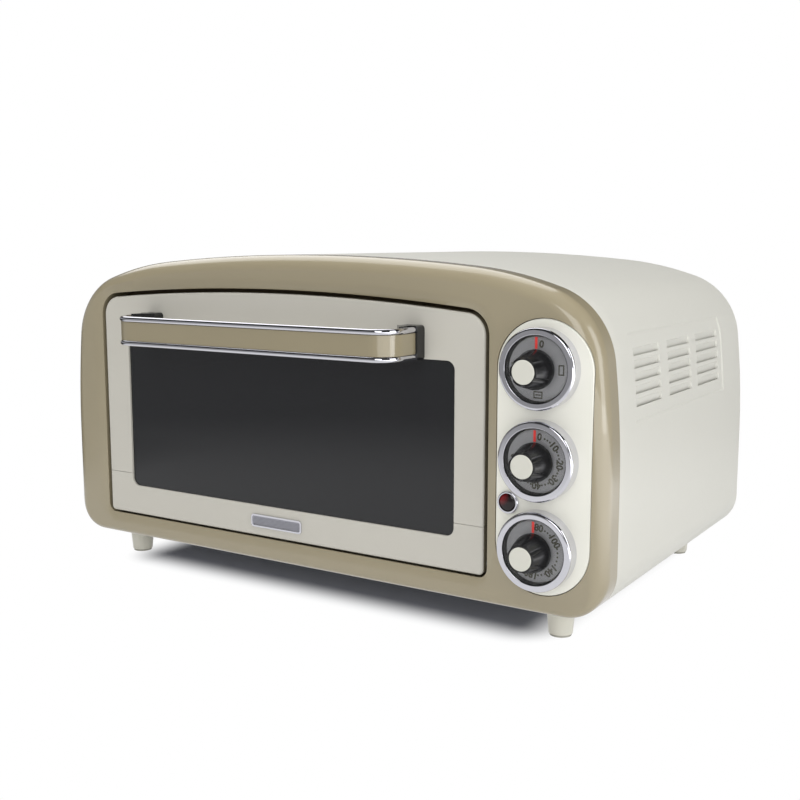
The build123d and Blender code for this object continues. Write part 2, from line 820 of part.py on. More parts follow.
# Dial assemblies: chrome ring, printed dial, clear pointer disc, knob, cap and shaft
rings = {}
dials = {}
pointers = {}
knobs = {}
caps = {}
shafts = {}
for name, height in dial_heights.items():
    # Ring: turned tube standing on the control plate
    with BuildPart() as ring:
        with BuildSketch(at_depth(plate_face)):
            with Locations((dial_x, height)):
                Circle(ring_radius)
                Circle(ring_bore, mode=Mode.SUBTRACT)
        extrude(amount=plate_face - ring_front)
        ring_y = face_y + ring_front
        for place, rounding in ((-1, ring_outer_round), (0, ring_inner_round)):
            rims = edges().filter_by_position(Axis.Y, ring_y, ring_y).sort_by(SortBy.LENGTH)
            fillet(rims[place], rounding)
    rings[name] = ring
    ring.part.label = name + "_ring"

    # Dial: shallow cup inside the ring, printed on its face
    with BuildPart() as dial:
        with BuildSketch(at_depth(dial_front)):
            with Locations((dial_x, height)):
                Circle(dial_radius)
        extrude(amount=-(plate_face - dial_front))
        with BuildSketch(at_depth(dial_front + dial_skin)):
            with Locations((dial_x, height)):
                Circle(dial_radius - dial_skirt)
        extrude(amount=-(plate_face - dial_front), mode=Mode.SUBTRACT)
        with BuildSketch(at_depth(dial_front)):
            with Locations((dial_x, height)):
                Circle(neck_radius)
        extrude(amount=-dial_skin, mode=Mode.SUBTRACT)
    dials[name] = dial
    dial.part.label = name + "_dial"

    # Pointer disc: clear disc on the knob's hub, turning over the dial
    with BuildPart() as pointer:
        with BuildSketch(at_depth(pointer_front)):
            with Locations((dial_x, height)):
                Circle(pointer_radius)
                Circle(knob_hub_radius, mode=Mode.SUBTRACT)
        extrude(amount=-pointer_thickness)
    pointers[name] = pointer
    pointer.part.label = name + "_pointer_disc"

    # Knob: tapered black grip on a plain rim, with flutes along its slope and a seat for the cap
    with BuildPart() as knob:
        with BuildSketch(at_depth(pointer_front)):
            with Locations((dial_x, height)):
                Circle(knob_radius)
        extrude(amount=knob_rim)
        with BuildSketch(at_depth(pointer_front - knob_rim)):
            with Locations((dial_x, height)):
                Circle(knob_radius)
        with BuildSketch(at_depth(knob_front)):
            with Locations((dial_x, height)):
                Circle(knob_tip_radius)
        loft()
        knob_tip = edges().filter_by_position(Axis.Y, face_y + knob_front, face_y + knob_front)
        fillet(knob_tip, knob_edge_radius)
        for turn in range(flute_count):
            angle = radians(turn * 360 / flute_count + 180 / flute_count)
            reach = knob_radius + flute_radius - flute_base_depth
            tip_reach = knob_tip_radius + flute_radius - flute_tip_depth
            with BuildSketch(at_depth(pointer_front - knob_rim)):
                with Locations((dial_x + reach * cos(angle), height + reach * sin(angle))):
                    Circle(flute_radius)
            with BuildSketch(at_depth(knob_front)):
                with Locations((dial_x + tip_reach * cos(angle), height + tip_reach * sin(angle))):
                    Circle(flute_radius)
            loft(mode=Mode.SUBTRACT)
        with BuildSketch(at_depth(pointer_front)):
            with Locations((dial_x, height)):
                Circle(knob_hub_radius)
        extrude(amount=-knob_hub_length)
        with BuildSketch(at_depth(pointer_front + knob_hub_length)):
            with Locations((dial_x, height)):
                Circle(shaft_radius)
        extrude(amount=pointer_front + knob_hub_length - shaft_front, mode=Mode.SUBTRACT)
        with BuildSketch(at_depth(knob_front)):
            with Locations((dial_x, height)):
                Circle(cap_radius)
        extrude(amount=-cap_seat, mode=Mode.SUBTRACT)
    knobs[name] = knob
    knob.part.label = name + "_knob"

    # Cap: cream insert in the knob's end
    with BuildPart() as cap:
        with BuildSketch(at_depth(knob_front + cap_seat)):
            with Locations((dial_x, height)):
                Circle(cap_radius)
        extrude(amount=cap_height)
        cap_face = face_y + knob_front + cap_seat - cap_height
        fillet(edges().filter_by_position(Axis.Y, cap_face, cap_face), cap_height / 3)
    caps[name] = cap
    cap.part.label = name + "_knob_cap"

    # Shaft: turned spindle from the mechanism into the knob
    with BuildPart() as shaft:
        with BuildSketch(at_depth(shaft_rear)):
            with Locations((dial_x, height)):
                Circle(shaft_radius)
        extrude(amount=shaft_rear - shaft_front)
    shafts[name] = shaft
    shaft.part.label = name + "_shaft"


def neck_and_bore(height):
    """Threaded neck through the chassis plate, bored for the turning shaft."""
    with BuildSketch(at_depth(neck_front)) as neck:
        with Locations((dial_x, height)):
            Circle(neck_radius)
    extrude(neck.sketch, amount=-(inside - neck_front + sheet))
    with BuildSketch(at_depth(neck_front)) as bore:
        with Locations((dial_x, height)):
            Circle(shaft_radius + shaft_clearance)
    bore_depth = shaft_rear + shaft_end_gap - neck_front
    extrude(bore.sketch, amount=-bore_depth, mode=Mode.SUBTRACT)


def tabs(height, back):
    """Two push-on terminals standing out of a mechanism's back."""
    with BuildSketch(at_depth(back)) as blades:
        with Locations((dial_x, height)):
            with GridLocations(tab_spread, 0, 2, 1):
                Rectangle(sheet, tab_width)
    extrude(blades.sketch, amount=-tab_length)


# Function switch: square rotary switch with its terminals at the back
with BuildPart() as function_switch:
    with BuildSketch(at_depth(inside)):
        with Locations((dial_x, dial_heights["function"])):
            RectangleRounded(switch_size, switch_size, switch_corner)
    extrude(amount=-switch_depth)
    tabs(dial_heights["function"], inside + switch_depth)
    neck_and_bore(dial_heights["function"])
function_switch.part.label = "function_switch"

# Timer movement: clockwork in a steel can
with BuildPart() as timer_movement:
    with BuildSketch(at_depth(inside)):
        with Locations((dial_x, dial_heights["timer"])):
            RectangleRounded(timer_size, timer_size, timer_corner)
    extrude(amount=-timer_depth)
    tabs(dial_heights["timer"] + timer_size / 3, inside + timer_depth)
    neck_and_bore(dial_heights["timer"])
timer_movement.part.label = "timer_movement"

# Timer bell: pressed dome on a post behind the movement
with BuildPart() as timer_bell:
    with BuildSketch(at_depth(inside + timer_depth)):
        with Locations((dial_x, dial_heights["timer"] - timer_size / 8)):
            Circle(bell_post_radius)
    extrude(amount=-(bell_post_length + bell_depth))
    with BuildSketch(at_depth(inside + timer_depth + bell_post_length)):
        with Locations((dial_x, dial_heights["timer"] - timer_size / 8)):
            Circle(bell_radius)
    extrude(amount=-bell_depth, taper=bell_slope)
    with BuildSketch(at_depth(inside + timer_depth + bell_post_length)):
        with Locations((dial_x, dial_heights["timer"] - timer_size / 8)):
            Circle(bell_radius - bell_skin)
            Circle(bell_post_radius, mode=Mode.SUBTRACT)
    extrude(amount=-(bell_depth - bell_skin), taper=bell_slope, mode=Mode.SUBTRACT)
timer_bell.part.label = "timer_bell"

# Thermostat: round capillary thermostat
with BuildPart() as thermostat:
    with BuildSketch(at_depth(inside)):
        with Locations((dial_x, dial_heights["thermostat"])):
            Circle(thermostat_radius)
    extrude(amount=-thermostat_depth)
    tabs(dial_heights["thermostat"], inside + thermostat_depth)
    neck_and_bore(dial_heights["thermostat"])
thermostat.part.label = "thermostat"

# Pilot lamp: chrome ring pushed into the control plate, red lens, neon holder behind
with BuildPart() as lamp_bezel:
    with BuildSketch(at_depth(lamp_front)):
        with Locations((lamp_x, lamp_z)):
            Circle(lamp_ring_radius)
    extrude(amount=-(plate_face - lamp_front))
    lamp_rim = edges().filter_by_position(Axis.Y, face_y + lamp_front, face_y + lamp_front)
    fillet(lamp_rim, lamp_edge_radius)
    with BuildSketch(at_depth(plate_face)):
        with Locations((lamp_x, lamp_z)):
            Circle(lamp_barrel_radius)
    extrude(amount=-(lamp_barrel_rear - plate_face))
    with BuildSketch(at_depth(lamp_front)):
        with Locations((lamp_x, lamp_z)):
            Circle(lamp_radius)
    extrude(amount=-(lamp_barrel_rear - lamp_front), mode=Mode.SUBTRACT)
lamp_bezel.part.label = "lamp_bezel"

with BuildPart() as lamp_lens:
    with BuildSketch(at_depth(lamp_front + lens_set)):
        with Locations((lamp_x, lamp_z)):
            Circle(lamp_radius)
    extrude(amount=-(lamp_barrel_rear - lamp_front - lens_set))
lamp_lens.part.label = "lamp_lens"

with BuildPart() as lamp_holder:
    with BuildSketch(at_depth(lamp_barrel_rear)):
        with Locations((lamp_x, lamp_z)):
            Circle(lamp_radius)
    extrude(amount=-(lamp_holder_rear - lamp_barrel_rear))
    with BuildSketch(at_depth(inside)):
        with Locations((lamp_x, lamp_z)):
            Circle(lamp_flange_radius)
    extrude(amount=-lamp_flange)
lamp_holder.part.label = "lamp_holder"


def door_shell():
    """Door skin with its skirt, open behind and at the window."""
    with BuildSketch(at_depth(door_face)) as skin:
        door_outline()
    extrude(skin.sketch, amount=-door_depth)
    fillet(
        edges().filter_by_position(Axis.Y, face_y + door_face, face_y + door_face),
        door_edge_radius,
    )
    with BuildSketch(at_depth(door_face + door_skin)) as hollow:
        door_outline(door_skin)
    extrude(hollow.sketch, amount=-door_depth, mode=Mode.SUBTRACT)
    with BuildSketch(at_depth(door_face)) as opening:
        window()
    extrude(opening.sketch, amount=-2 * door_skin, mode=Mode.SUBTRACT)


def cut_door(low, high):
    """Takes away the door between two heights."""
    with BuildSketch(at_depth(0)) as slab:
        with Locations(((door_left + door_right) / 2, (low + high) / 2)):
            Rectangle(door_right - door_left + 2 * door_gap, high - low)
    extrude(slab.sketch, amount=-bezel_depth, mode=Mode.SUBTRACT)


handle_screw_points = [
    (handle_middle + side * (handle_half - bracket_width / 2), (handle_bottom + handle_top) / 2)
    for side in (-1, 1)
]

# Door frame: upper part of the cream door skin
with BuildPart() as door_frame:
    door_shell()
    cut_door(door_bottom - door_gap, seam_height + seam_gap / 2)
    with BuildSketch(at_depth(door_face)):
        with Locations(*handle_screw_points):
            Circle(handle_screw_radius)
    extrude(amount=-2 * door_skin, mode=Mode.SUBTRACT)
door_frame.part.label = "door_frame"

# Lower rail: separate cream piece below the seam, with the bosses that hold the pivot pins
with BuildPart() as door_lower_rail:
    door_shell()
    cut_door(seam_height - seam_gap / 2, door_crown_z + door_gap)
    for edge_x, turn in ((door_left, 1), (door_right, -1)):
        with BuildSketch(on_side(edge_x + turn * door_skin / 2)):
            with Locations((face_y + pivot_depth, pivot_height)):
                Rectangle(2 * (door_face + door_depth - pivot_depth), 2 * pin_radius + 4 * sheet)
        extrude(amount=turn * pin_seat)
        with BuildSketch(on_side(edge_x - turn * door_gap)):
            with Locations((face_y + pivot_depth, pivot_height)):
                Circle(pin_radius)
        extrude(amount=turn * (door_gap + pin_seat), mode=Mode.SUBTRACT)
door_lower_rail.part.label = "door_lower_rail"

# Door glass: dark toughened pane behind the skin
with BuildPart() as door_glass:
    with BuildSketch(at_depth(door_face + door_skin)):
        window(glass_cover)
    extrude(amount=-glass_thickness)
door_glass.part.label = "door_glass"

# Inner frame: pressed steel pan that clamps the glass and closes against the chassis plate
glass_back = door_face + door_skin + glass_thickness
with BuildPart() as door_inner_frame:
    with BuildSketch(at_depth(glass_back)):
        door_outline(door_skin + fit_gap, bottom=inner_frame_bottom)
    extrude(amount=-(inner_frame_back - glass_back))
    with BuildSketch(at_depth(glass_back)):
        door_outline(door_skin + fit_gap + inner_skin, bottom=inner_frame_bottom + inner_skin)
        window(inner_skin, mode=Mode.SUBTRACT)
    extrude(amount=-(inner_frame_back - glass_back - inner_skin), mode=Mode.SUBTRACT)
    with BuildSketch(at_depth(glass_back)):
        window()
    extrude(amount=-(inner_frame_back - glass_back), mode=Mode.SUBTRACT)
door_inner_frame.part.label = "door_inner_frame"

# Pivot pins: pressed into the lower rail, turning in the brackets beside the door
with BuildPart() as hinge_pins:
    for edge_x, turn in ((door_left, 1), (door_right, -1)):
        with BuildSketch(on_side(edge_x + turn * pin_seat)):
            with Locations((face_y + pivot_depth, pivot_height)):
                Circle(pin_radius)
        extrude(amount=-turn * (pin_seat + door_gap + lip_wall + 2 * ear_gap + ear_thickness))
hinge_pins.part.label = "hinge_pins"

# Hinge brackets: folded steel ears standing on the chassis plate inside the bezel
with BuildPart() as hinge_brackets:
    for edge_x, turn in ((door_left, 1), (door_right, -1)):
        ear_x = edge_x - turn * (door_gap + lip_wall + ear_gap)
        with BuildSketch(on_side(ear_x)):
            with Locations((face_y + (ear_front + bezel_depth) / 2, (ear_bottom + ear_top) / 2)):
                Rectangle(bezel_depth - ear_front, ear_top - ear_bottom)
        extrude(amount=-turn * ear_thickness)
        with BuildSketch(at_depth(bezel_depth - ear_thickness)):
            foot_middle = ear_x - turn * bracket_foot_width / 2
            with Locations((foot_middle, ear_bottom + bracket_foot_height / 2)):
                Rectangle(bracket_foot_width, bracket_foot_height)
        extrude(amount=-ear_thickness)
        with BuildSketch(on_side(ear_x)):
            with Locations((face_y + pivot_depth, pivot_height)):
                Circle(pin_radius + pin_clearance)
        extrude(amount=-turn * ear_thickness, mode=Mode.SUBTRACT)
hinge_brackets.part.label = "hinge_brackets"

# Badge: chrome plate with a raised rim, left blank
with BuildPart() as door_badge:
    with BuildSketch(at_depth(door_face)):
        with Locations((door_middle, badge_z)):
            RectangleRounded(badge_width, badge_height, badge_height / 4)
    extrude(amount=badge_proud)
    with BuildSketch(at_depth(door_face - badge_proud)):
        with Locations((door_middle, badge_z)):
            RectangleRounded(
                badge_width - 2 * badge_rim, badge_height - 2 * badge_rim, badge_height / 6
            )
    extrude(amount=-badge_proud / 2, mode=Mode.SUBTRACT)
door_badge.part.label = "door_badge"


def handle_bar(low, height, set_back, thickness):
    """A bar bent like the handle: straight across the front, curved back to the brackets."""
    outer = handle_half - set_back
    reach = handle_reach - set_back
    corner = handle_corner - set_back
    end = bracket_depth - door_face
    with BuildSketch(at_height(low)) as bar:
        with Locations((handle_middle, face_y - (reach + end) / 2)):
            Rectangle(2 * outer, reach - end)
            Rectangle(2 * (outer - thickness), reach - end, mode=Mode.SUBTRACT)
        with Locations((handle_middle, face_y - reach + corner / 2)):
            Rectangle(2 * outer, corner, mode=Mode.SUBTRACT)
        for side in (-1, 1):
            with Locations((handle_middle + side * (outer - corner), face_y - reach + corner)):
                with BuildSketch(mode=Mode.PRIVATE) as quarter:
                    Circle(corner)
                    Circle(corner - thickness, mode=Mode.SUBTRACT)
                    with Locations((side * corner / 2, -corner / 2)):
                        Rectangle(corner, corner, mode=Mode.INTERSECT)
                add(quarter.sketch)
        with Locations((handle_middle, face_y - reach + thickness / 2)):
            Rectangle(2 * (outer - corner), thickness)
    extrude(bar.sketch, amount=height)


# Handle: khaki strap between two chrome rails
with BuildPart() as handle_rail_lower:
    handle_bar(handle_bottom, rail_height, 0, rail_depth)
    fillet(edges().filter_by_position(Axis.Z, handle_bottom, handle_bottom), rail_round)
handle_rail_lower.part.label = "handle_rail_lower"

with BuildPart() as handle_strap:
    handle_bar(handle_bottom + rail_height, strap_height, strap_set, strap_thickness)
handle_strap.part.label = "handle_strap"

with BuildPart() as handle_rail_upper:
    handle_bar(handle_top - rail_height, rail_height, 0, rail_depth)
    fillet(edges().filter_by_position(Axis.Z, handle_top, handle_top), rail_round)
handle_rail_upper.part.label = "handle_rail_upper"

# Handle brackets: black blocks on the door skin that carry the bar's two ends, with a gusset
# that runs forward inside each bend
brackets = {}
for side, name in ((-1, "left"), (1, "right")):
    with BuildPart() as bracket:
        bracket_x = handle_middle + side * (handle_half + bracket_overlap - bracket_width / 2)
        with BuildSketch(at_depth(door_face)):
            with Locations((bracket_x, (handle_bottom + handle_top) / 2)):
                RectangleRounded(
                    bracket_width, handle_top - handle_bottom + 2 * bracket_overlap, bracket_corner
                )
            with Locations(handle_screw_points[(side + 1) // 2]):
                Circle(handle_screw_radius, mode=Mode.SUBTRACT)
        extrude(amount=bracket_depth)
        with BuildSketch(at_depth(door_face - bracket_depth)):
            with Locations(handle_screw_points[(side + 1) // 2]):
                Circle(handle_screw_radius)
        extrude(amount=-bracket_depth / 2)
        leg_x = handle_middle + side * (handle_half - rail_depth)
        root_x = handle_middle + side * (handle_half + bracket_overlap - bracket_width)
        bracket_face = face_y + door_face - bracket_depth
        with BuildSketch(at_height(handle_bottom - bracket_overlap)):
            with BuildLine():
                Polyline(
                    (leg_x, bracket_face),
                    (leg_x, face_y - handle_reach + handle_corner),
                    (root_x, bracket_face),
                    close=True,
                )
            make_face()
        extrude(amount=handle_top - handle_bottom + 2 * bracket_overlap)
    brackets[name] = bracket
    bracket.part.label = "handle_bracket_" + name

# Handle screws: through the door skin from behind
with BuildPart() as handle_screws:
    with BuildSketch(at_depth(door_face + door_skin)):
        with Locations(*handle_screw_points):
            Circle(handle_screw_radius + screw_radius)
    extrude(amount=-screw_head)
    with BuildSketch(at_depth(door_face + door_skin)):
        with Locations(*handle_screw_points):
            Circle(handle_screw_radius)
    extrude(amount=door_skin + bracket_depth / 2)
handle_screws.part.label = "handle_screws"

# Wire rack: plated rod frame with cross wires, on the middle runners
rack_left = cavity_left + slide_gap + frame_wire
rack_right = cavity_right - slide_gap - frame_wire
rack_z = runner_heights[1] + runner_height + lift_gap + frame_wire
rack_near = rack_front + frame_wire
rack_far = rack_front + rack_length - frame_wire
with BuildPart() as wire_rack:
    for x in (rack_left, rack_right):
        with BuildSketch(at_depth(rack_near)):
            with Locations((x, rack_z)):
                Circle(frame_wire)
        extrude(amount=-(rack_far - rack_near))
    for depth in (rack_near, rack_far):
        with BuildSketch(on_side(rack_left)):
            with Locations((face_y + depth, rack_z)):
                Circle(frame_wire)
        extrude(amount=rack_right - rack_left)
        for x in (rack_left, rack_right):
            with Locations((x, face_y + depth, rack_z)):
                Sphere(frame_wire)
    for bar in range(1, rack_bars + 1):
        with BuildSketch(at_depth(rack_near - bar_overrun)):
            x = rack_left + (rack_right - rack_left) * bar / (rack_bars + 1)
            with Locations((x, rack_z)):
                Circle(cross_wire)
        extrude(amount=-(rack_far - rack_near + 2 * bar_overrun))
wire_rack.part.label = "wire_rack"

# Baking tray: enamelled pan hung by its rim on the lowest runners
tray_width = cavity_right - cavity_left - 2 * slide_gap
tray_x = (cavity_left + cavity_right) / 2
tray_rim_z = runner_heights[0] + runner_height + lift_gap
well_width = tray_width - 2 * (tray_rim + tray_sheet)
well_length = tray_length - 2 * tray_rim
with BuildPart() as baking_tray:
    tray_y = face_y + tray_front + tray_length / 2
    with BuildSketch(at_height(tray_rim_z)):
        with Locations((tray_x, tray_y)):
            RectangleRounded(tray_width, tray_length, tray_corner)
    extrude(amount=tray_sheet)
    with BuildSketch(at_height(tray_rim_z)):
        with Locations((tray_x, tray_y)):
            RectangleRounded(well_width, well_length, tray_corner)
    extrude(amount=-tray_drop, taper=tray_slope)
    with BuildSketch(at_height(tray_rim_z + tray_sheet)):
        with Locations((tray_x, tray_y)):
            RectangleRounded(
                well_width - 2 * tray_sheet, well_length - 2 * tray_sheet, tray_corner - tray_sheet
            )
    extrude(amount=-tray_drop, taper=tray_slope, mode=Mode.SUBTRACT)
baking_tray.part.label = "baking_tray"

# Cable gland: moulded bush in the rear panel, flanged on both faces
with BuildPart() as cable_gland:
    with BuildSketch(at_depth(rear_depth + gland_reach)):
        with Locations((gland_x, gland_z)):
            Circle(gland_radius)
    extrude(amount=gland_reach + sheet + gland_inside)
    for front in (rear_depth, rear_depth - sheet - gland_flange):
        with BuildSketch(at_depth(front)):
            with Locations((gland_x, gland_z)):
                Circle(gland_flange_radius)
        extrude(amount=-gland_flange)
    with BuildSketch(at_depth(rear_depth + gland_reach)):
        with Locations((gland_x, gland_z)):
            Circle(gland_bore)
    extrude(amount=gland_reach + sheet + gland_inside, mode=Mode.SUBTRACT)
cable_gland.part.label = "cable_gland"

# Terminal block: ceramic connector on the base, in front of the gland
block_front = rear_depth - 2 * block_depth - gland_inside
with BuildPart() as terminal_block:
    with Locations(
        (gland_x, face_y + block_front + block_depth / 2, base_floor + block_height / 2)
    ):
        Box(block_length, block_depth, block_height)
    with Locations((gland_x, face_y + block_front + block_depth / 2, base_floor + block_height)):
        with GridLocations(block_length / 3, 0, 3, 1):
            Cylinder(
                screw_head_radius,
                block_height / 2,
                align=(Align.CENTER, Align.CENTER, Align.MAX),
                mode=Mode.SUBTRACT,
            )
terminal_block.part.label = "terminal_block"

# Wiring: insulated leads from the block forward to the three mechanisms
with BuildPart() as wiring:
    targets = (
        ("function", inside + switch_depth + tab_length, 0.0),
        ("timer", inside + timer_depth + tab_length, timer_size / 3),
        ("thermostat", inside + thermostat_depth + tab_length, 0.0),
    )
    for lead, (name, target, lift) in enumerate(targets):
        start_x = gland_x + (lead - 1) * block_length / 3
        end_x = dial_x + tab_spread / 2
        start_z = base_floor + block_height - 3 * wire_radius
        end_z = dial_heights[name] + lift
        middle = (block_front + target) / 2 + (lead - 1) * 3 * wire_bend
        with BuildLine() as route:
            FilletPolyline(
                (start_x, face_y + block_front, start_z),
                (start_x, face_y + middle, start_z),
                (end_x, face_y + middle - wire_bend, end_z),
                (end_x, face_y + target, end_z),
                radius=wire_bend,
            )
        with BuildSketch(at_depth(block_front)):
            with Locations((start_x, start_z)):
                Circle(wire_radius)
        sweep(path=route.wire())
wiring.part.label = "wiring"

# Thermostat bulb: sensing rod clipped along the cavity's right wall, capillary to the thermostat
with BuildPart() as thermostat_bulb:
    bulb_x = cavity_right - bulb_radius - lift_gap
    with BuildSketch(at_depth(bulb_front)):
        with Locations((bulb_x, bulb_height)):
            Circle(bulb_radius)
    extrude(amount=-bulb_length)
    capillary_x = dial_x - thermostat_radius / 2
    capillary_z = dial_heights["thermostat"] + thermostat_radius / 2
    with BuildLine() as capillary:
        FilletPolyline(
            (bulb_x, face_y + bulb_front, bulb_height),
            (bulb_x, face_y + bulb_front - 2 * capillary_bend, bulb_height),
            (capillary_x, face_y + bulb_front - 2 * capillary_bend, bulb_height),
            (capillary_x, face_y + bulb_front - 2 * capillary_bend, capillary_z),
            (capillary_x, face_y + inside + thermostat_depth, capillary_z),
            radius=capillary_bend,
        )
    with BuildSketch(at_depth(bulb_front)):
        with Locations((bulb_x, bulb_height)):
            Circle(capillary_radius)
    sweep(path=capillary.wire())
thermostat_bulb.part.label = "thermostat_bulb"

pieces = [
    body_wrap, front_bezel, front_plate, base_plate, rear_panel, feet, foot_pads, foot_screws,
    case_screws, bezel_screws, cavity_liner, heat_shield, upper_elements, lower_elements,
    element_insulators, control_plate, function_switch, timer_movement, timer_bell, thermostat,
    thermostat_bulb, lamp_bezel, lamp_lens, lamp_holder, door_frame, door_lower_rail, door_glass,
    door_inner_frame, hinge_pins, hinge_brackets, door_badge, handle_strap, handle_rail_lower,
    handle_rail_upper, handle_screws, wire_rack, baking_tray, cable_gland, terminal_block, wiring,
]
for group in (brackets, rings, dials, pointers, knobs, caps, shafts):
    pieces += group.values()
for piece in pieces:
    export_step(piece.part, f"parts/{piece.part.label}.step")
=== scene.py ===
"""Dresses a countertop electric oven: arched cream case, khaki front, glass door, three dials."""

from math import acos, asin, cos, degrees, pi, radians, sin

import bmesh
import bpy
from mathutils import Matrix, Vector


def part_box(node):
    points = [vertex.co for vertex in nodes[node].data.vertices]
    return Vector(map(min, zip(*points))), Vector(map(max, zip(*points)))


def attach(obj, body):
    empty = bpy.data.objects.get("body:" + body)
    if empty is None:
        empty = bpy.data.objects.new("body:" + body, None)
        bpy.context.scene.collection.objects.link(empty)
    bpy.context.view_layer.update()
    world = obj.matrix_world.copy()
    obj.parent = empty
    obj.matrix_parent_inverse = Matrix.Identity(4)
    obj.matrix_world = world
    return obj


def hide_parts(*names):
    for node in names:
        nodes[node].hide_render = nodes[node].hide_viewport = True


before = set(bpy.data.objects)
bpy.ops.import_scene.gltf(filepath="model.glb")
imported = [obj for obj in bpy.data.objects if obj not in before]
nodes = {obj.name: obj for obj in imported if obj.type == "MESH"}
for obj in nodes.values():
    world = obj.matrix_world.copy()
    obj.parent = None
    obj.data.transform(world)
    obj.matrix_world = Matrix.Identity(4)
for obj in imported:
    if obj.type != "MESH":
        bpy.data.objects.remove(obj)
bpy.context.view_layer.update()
MM = 0.001


def box_mm(node):
    """Lowest and highest corner of a CAD node, in millimetres."""
    return [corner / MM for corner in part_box(node)]


face_y = box_mm("front_bezel")[0].y

# Camera: stands in front of the oven and to its right, a little above it. The lens gives the
# photograph's width of view on a square frame.
camera_x = 474.7
camera_ahead = 614.3
camera_height = 254.9
camera_azimuth = 32.45
camera_elevation = 8.2
focal_length = 50.06
camera = bpy.data.objects.new("camera", bpy.data.cameras.new("camera"))
camera.data.lens = focal_length
camera.data.sensor_width = 36
camera.location = (camera_x * MM, (face_y - camera_ahead) * MM, camera_height * MM)
camera.rotation_euler = (radians(90 - camera_elevation), 0, radians(camera_azimuth))
camera.data.clip_end = 50
bpy.context.scene.collection.objects.link(camera)
bpy.context.scene.camera = camera
bpy.context.scene.view_settings.view_transform = "Standard"

# Studio floor: a white paper sweep. The camera sees it white, but under and in front of the oven
# it sees darker grey paper that still takes the real shading there: a painted shadow. Polished
# surfaces see the floor glow, a painted reflection: bright near the oven and dimmer further away,
# brighter in a patch at the right that stands for a lit card, and near black in a patch at the
# left that stands for a black flag.
floor_size = 9000
shadow_middle = (0.0, 19.0)
shadow_half = (177.0, 132.0)
shadow_soft = (20.0, 20.0)
painted_shadow_paper = "8f929f"
# Painted reflection: glow levels of the floor near and far, and the patches standing for a lit
# card and a black flag.
painted_glow_near = 0.82
sweep_near = 0.45
sweep_far = 0.98
painted_glow_far = 0.33
painted_card_from, painted_card_to, painted_card_rear, painted_card_fade, painted_card_shine = 350, 520, 420, 150, 2.4
painted_flag_from, painted_flag_to, painted_flag_front, painted_flag_fade, painted_flag_shine = -420, -620, -560, 200, 0.03


def add_node(tree, kind, inputs=None, **settings):
    """Adds one shader node, sets its properties, and fills or links its inputs by name."""
    node = tree.nodes.new(kind)
    for name, value in settings.items():
        setattr(node, name, value)
    for name, value in (inputs or {}).items():
        if isinstance(value, bpy.types.NodeSocket):
            tree.links.new(value, node.inputs[name])
        else:
            node.inputs[name].default_value = value
    return node


def linear(code):
    """Linear RGBA of an sRGB hex colour such as "dcdcd2"."""
    channels = [int(code[i : i + 2], 16) / 255 for i in (0, 2, 4)]
    return [c / 12.92 if c <= 0.04045 else ((c + 0.055) / 1.055) ** 2.4 for c in channels] + [1]


def new_tree(name):
    """Empty node tree of a new material, and the material."""
    material = bpy.data.materials.new(name)
    material.use_nodes = True
    material.node_tree.nodes.clear()
    return material, material.node_tree


sweep, tree = new_tree("white_paper_sweep")
path = add_node(tree, "ShaderNodeLightPath")
place = add_node(tree, "ShaderNodeNewGeometry").outputs["Position"]
distance = add_node(tree, "ShaderNodeVectorMath", {0: place}, operation="LENGTH")
# Painted reflection: to glossy rays the floor glows, bright near the oven and dimmer further away.
painted_reflection_level = add_node(
    tree,
    "ShaderNodeMapRange",
    {"Value": distance.outputs["Value"], "From Min": sweep_near, "From Max": sweep_far,
     "To Min": painted_glow_near, "To Max": painted_glow_far},
    interpolation_type="SMOOTHSTEP",
)
split = add_node(tree, "ShaderNodeSeparateXYZ", {"Vector": place})
edge_shares = []
for axis, middle, half, soft in zip("XY", shadow_middle, shadow_half, shadow_soft):
    aside = add_node(
        tree, "ShaderNodeMath", {0: split.outputs[axis], 1: middle * MM}, operation="SUBTRACT"
    )
    reach = add_node(tree, "ShaderNodeMath", {0: aside.outputs[0]}, operation="ABSOLUTE")
    edge_shares.append(
        add_node(
            tree,
            "ShaderNodeMapRange",
            {"Value": reach.outputs[0], "From Min": (half - soft) * MM,
             "From Max": (half + soft) * MM},
        )
    )
corner_share = add_node(
    tree,
    "ShaderNodeCombineXYZ",
    {"X": edge_shares[0].outputs["Result"], "Y": edge_shares[1].outputs["Result"]},
)
edge_share = add_node(
    tree, "ShaderNodeVectorMath", {0: corner_share.outputs["Vector"]}, operation="LENGTH"
)
clear_of_painted_shadow = add_node(
    tree,
    "ShaderNodeMapRange",
    {"Value": edge_share.outputs["Value"]},
    interpolation_type="SMOOTHSTEP",
)
# Painted shadow: darker grey paper under and in front of the oven, plain white beyond.
paper = add_node(tree, "ShaderNodeBsdfDiffuse", {"Color": linear("f4f4f4")})
shaded = add_node(tree, "ShaderNodeBsdfDiffuse", {"Color": linear(painted_shadow_paper)})
bright = add_node(tree, "ShaderNodeEmission", {"Color": linear("ffffff")})
seen = add_node(tree, "ShaderNodeMixShader", {0: clear_of_painted_shadow.outputs["Result"]})
tree.links.new(shaded.outputs[0], seen.inputs[1])
tree.links.new(bright.outputs[0], seen.inputs[2])
